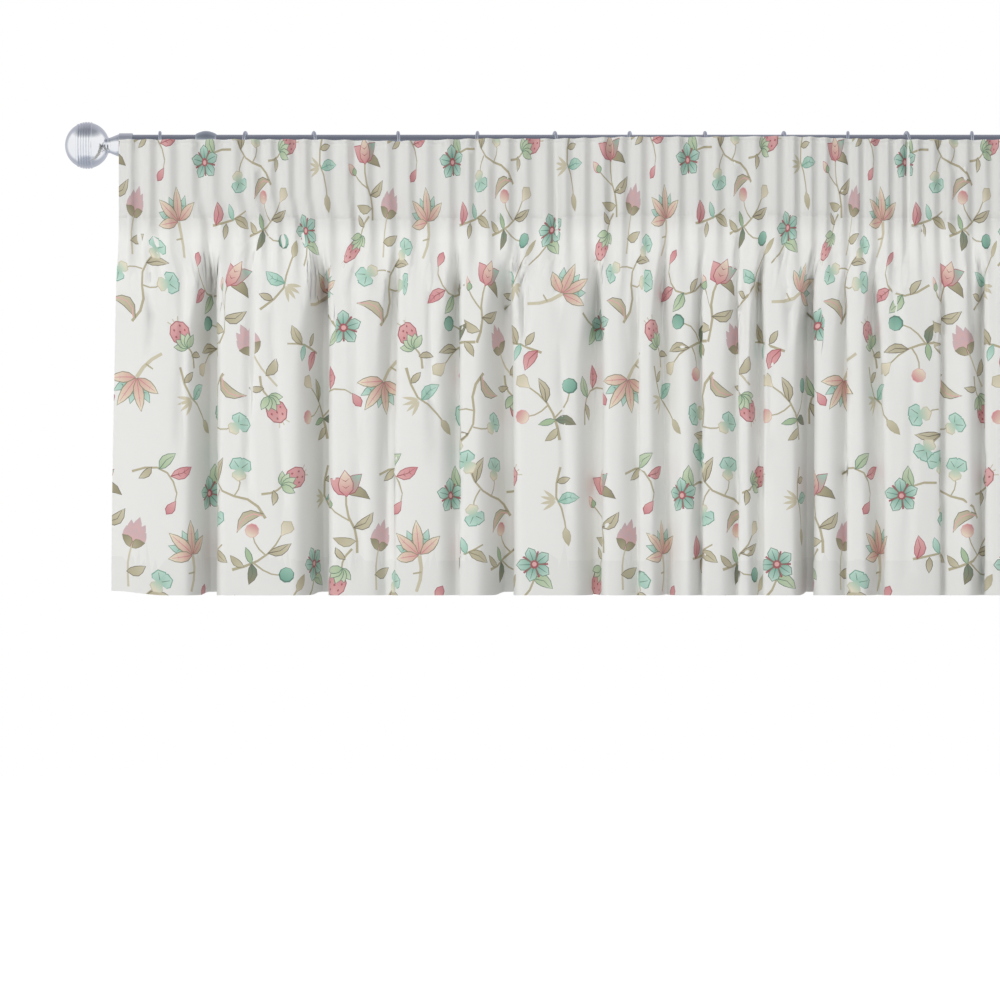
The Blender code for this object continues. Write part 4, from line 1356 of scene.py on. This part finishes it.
def makeHooks():    # bent wires from the tape's pockets through the eyes
    wire = hook["wire"]
    seat = -ringDrop - eyeDrop - ring["eyeInner"] + hook["clearance"] + wire
    leg = (headingY + cloth["pleatSwing"] * tape["swingShare"] + tape["behind"]
           + tape["thickness"] / 2 + tape["ribRise"] + wire + 0.0001)
    reach = -rod["standoff"] - leg
    path = [(0, seat - 0.027), (0, seat - 0.016), (0, seat - 0.005), (0.0008, seat - 0.0018),
            (0.003, seat), (reach, seat), (reach + 0.0025, seat), (reach + 0.0044, seat - 0.0012),
            (reach + 0.0052, seat - 0.0035), (reach + 0.0052, seat - 0.008)]
    line = curveThrough(path, 37)
    bpy.ops.object.select_all(action="DESELECT")
    bpy.ops.mesh.primitive_plane_add(size=0.001, location=(0, 0, 0))
    bent = bpy.context.object
    bpy.ops.object.mode_set(mode="EDIT")
    bpy.ops.mesh.select_all(action="SELECT")
    bpy.ops.mesh.merge(type="CENTER")
    bpy.ops.transform.translate(value=(0, line[0, 0], line[0, 1]))
    for (y, z), (nextY, nextZ) in zip(line, line[1:]):
        bpy.ops.mesh.extrude_region_move(TRANSFORM_OT_translate={"value": (0, nextY - y, nextZ - z)})
    bpy.ops.object.mode_set(mode="OBJECT")
    onlySelect(bent)
    bpy.ops.object.convert(target="CURVE")
    bent = bpy.context.object
    bent.data.bevel_depth = wire
    bent.data.bevel_resolution = 2
    bent.data.use_fill_caps = True
    bpy.ops.object.convert(target="MESH")
    bent = bpy.context.object
    for number, x in enumerate(ringX, start=1):
        piece = copyOf(bent)
        settle(piece, (x, leg, 0))
        finishPiece(piece, f"hook{number:02d}", hookNylon, f"hook_{number:02d}", 50)
    bpy.data.objects.remove(bent)


makeRod()
makeFinials()
makeBrackets()
makeRings()
makeHooks()
print("rod, finials, brackets, rings and hooks ready")


# Stage

scene = bpy.context.scene
scene.view_settings.view_transform = "Standard"
scene.view_settings.look = "None"

cameraData = bpy.data.cameras.new("camera")
cameraData.lens = camera["sensor"] * camera["distance"] / camera["width"]
cameraData.sensor_width = camera["sensor"]
cameraObject = bpy.data.objects.new("camera", cameraData)
cameraObject.location = camera["place"]
cameraObject.rotation_euler = (math.pi / 2, 0, 0)
scene.collection.objects.link(cameraObject)
scene.camera = cameraObject


def addLight(name, place, target, size, power):
    data = bpy.data.lights.new(name, "AREA")
    data.shape = "RECTANGLE"
    data.size = data.size_y = size
    data.energy = power
    light = bpy.data.objects.new(name, data)
    light.location = place
    aim = Vector(target) - Vector(place)
    light.rotation_euler = aim.to_track_quat("-Z", "Y").to_euler()
    scene.collection.objects.link(light)
    return light


lamps = (
    ("keyLight", (-2.0, -3.0, 0.6), (0.4, -0.1, -0.2), 2.0, 62.0),
    ("fillLight", (1.0, -3.6, 0.2), (0.4, -0.1, -0.2), 2.5, 28.0),
    ("backLight", (0.5, 3.0, 1.0), (0.5, -0.1, -0.2), 2.5, 45.0),
)
for lamp in lamps:
    addLight(*lamp).visible_glossy = False      # the metal reflects the room below instead

# The room: white behind the part, soft light for the cloth, and bands of grey for the metal to reflect
roomLight = 0.42
roomFront = (   # height of a reflected ray from -1 to 1, and its colour, towards the camera's side
    (-1.00, (0.44, 0.47, 0.54)), (-0.90, (0.50, 0.53, 0.60)), (-0.76, (0.95, 0.96, 0.98)),
    (0.55, (1.00, 1.00, 1.00)), (0.72, (0.55, 0.57, 0.60)), (0.84, (0.34, 0.36, 0.40)),
    (1.00, (0.29, 0.30, 0.34)),
)
roomBack = (    # the same, towards the wall
    (-1.00, (0.40, 0.43, 0.50)), (-0.60, (0.50, 0.52, 0.58)), (0.00, (0.60, 0.61, 0.67)),
    (0.70, (0.50, 0.51, 0.57)), (1.00, (0.38, 0.39, 0.44)),
)


def heightRamp(tree, height, stops):
    share = mathNode(tree, "MULTIPLY_ADD", height, 0.5, 0.5)
    ramp = addNode(tree, "ShaderNodeValToRGB", {0: share})
    bands = ramp.color_ramp.elements
    for place, _ in stops[1:-1]:
        bands.new(0.5 + 0.5 * place)
    for band, (_, colour) in zip(bands, stops):
        band.color = (*colour, 1.0)
    return ramp.outputs[0]


world = bpy.data.worlds.new("studio")
scene.world = world
world.use_nodes = True
sky = world.node_tree
ray = addNode(sky, "ShaderNodeTexCoord").outputs["Generated"]
direction = addNode(sky, "ShaderNodeSeparateXYZ", {0: ray}).outputs
height, behind = direction["Z"], direction["Y"]
lifted = mathNode(sky, "MULTIPLY", mathNode(sky, "MULTIPLY", height, height), 0.45)
backShare = addNode(sky, "ShaderNodeMapRange",
                    {"Value": mathNode(sky, "ADD", lifted, behind), "From Min": 0.35, "From Max": 0.70},
                    interpolation_type="SMOOTHSTEP").outputs[0]
room = mixNode(sky, backShare, heightRamp(sky, height, roomFront), heightRamp(sky, height, roomBack))
seen = addNode(sky, "ShaderNodeLightPath").outputs
glossy = mixNode(sky, seen["Is Glossy Ray"], (roomLight, roomLight, roomLight, 1.0), room)
white = (1.0, 1.0, 1.0, 1.0)
setInputs(sky.nodes["Background"], {"Color": mixNode(sky, seen["Is Camera Ray"], glossy, white)})

bpy.ops.object.select_all(action="DESELECT")
bpy.ops.mesh.primitive_plane_add(size=12.0, location=(0.5, 2.0, -0.95))
floor = bpy.context.object
floor.name = "floor"
floorMaterial, _, floorShader = newMaterial("paleFloor")
setInputs(floorShader, {"Base Color": (0.9, 0.9, 0.9, 1.0), "Roughness": 0.9,
                        "Emission Color": white, "Emission Strength": 1.0})
floor.data.materials.append(floorMaterial)
floor.visible_glossy = floor.visible_diffuse = False
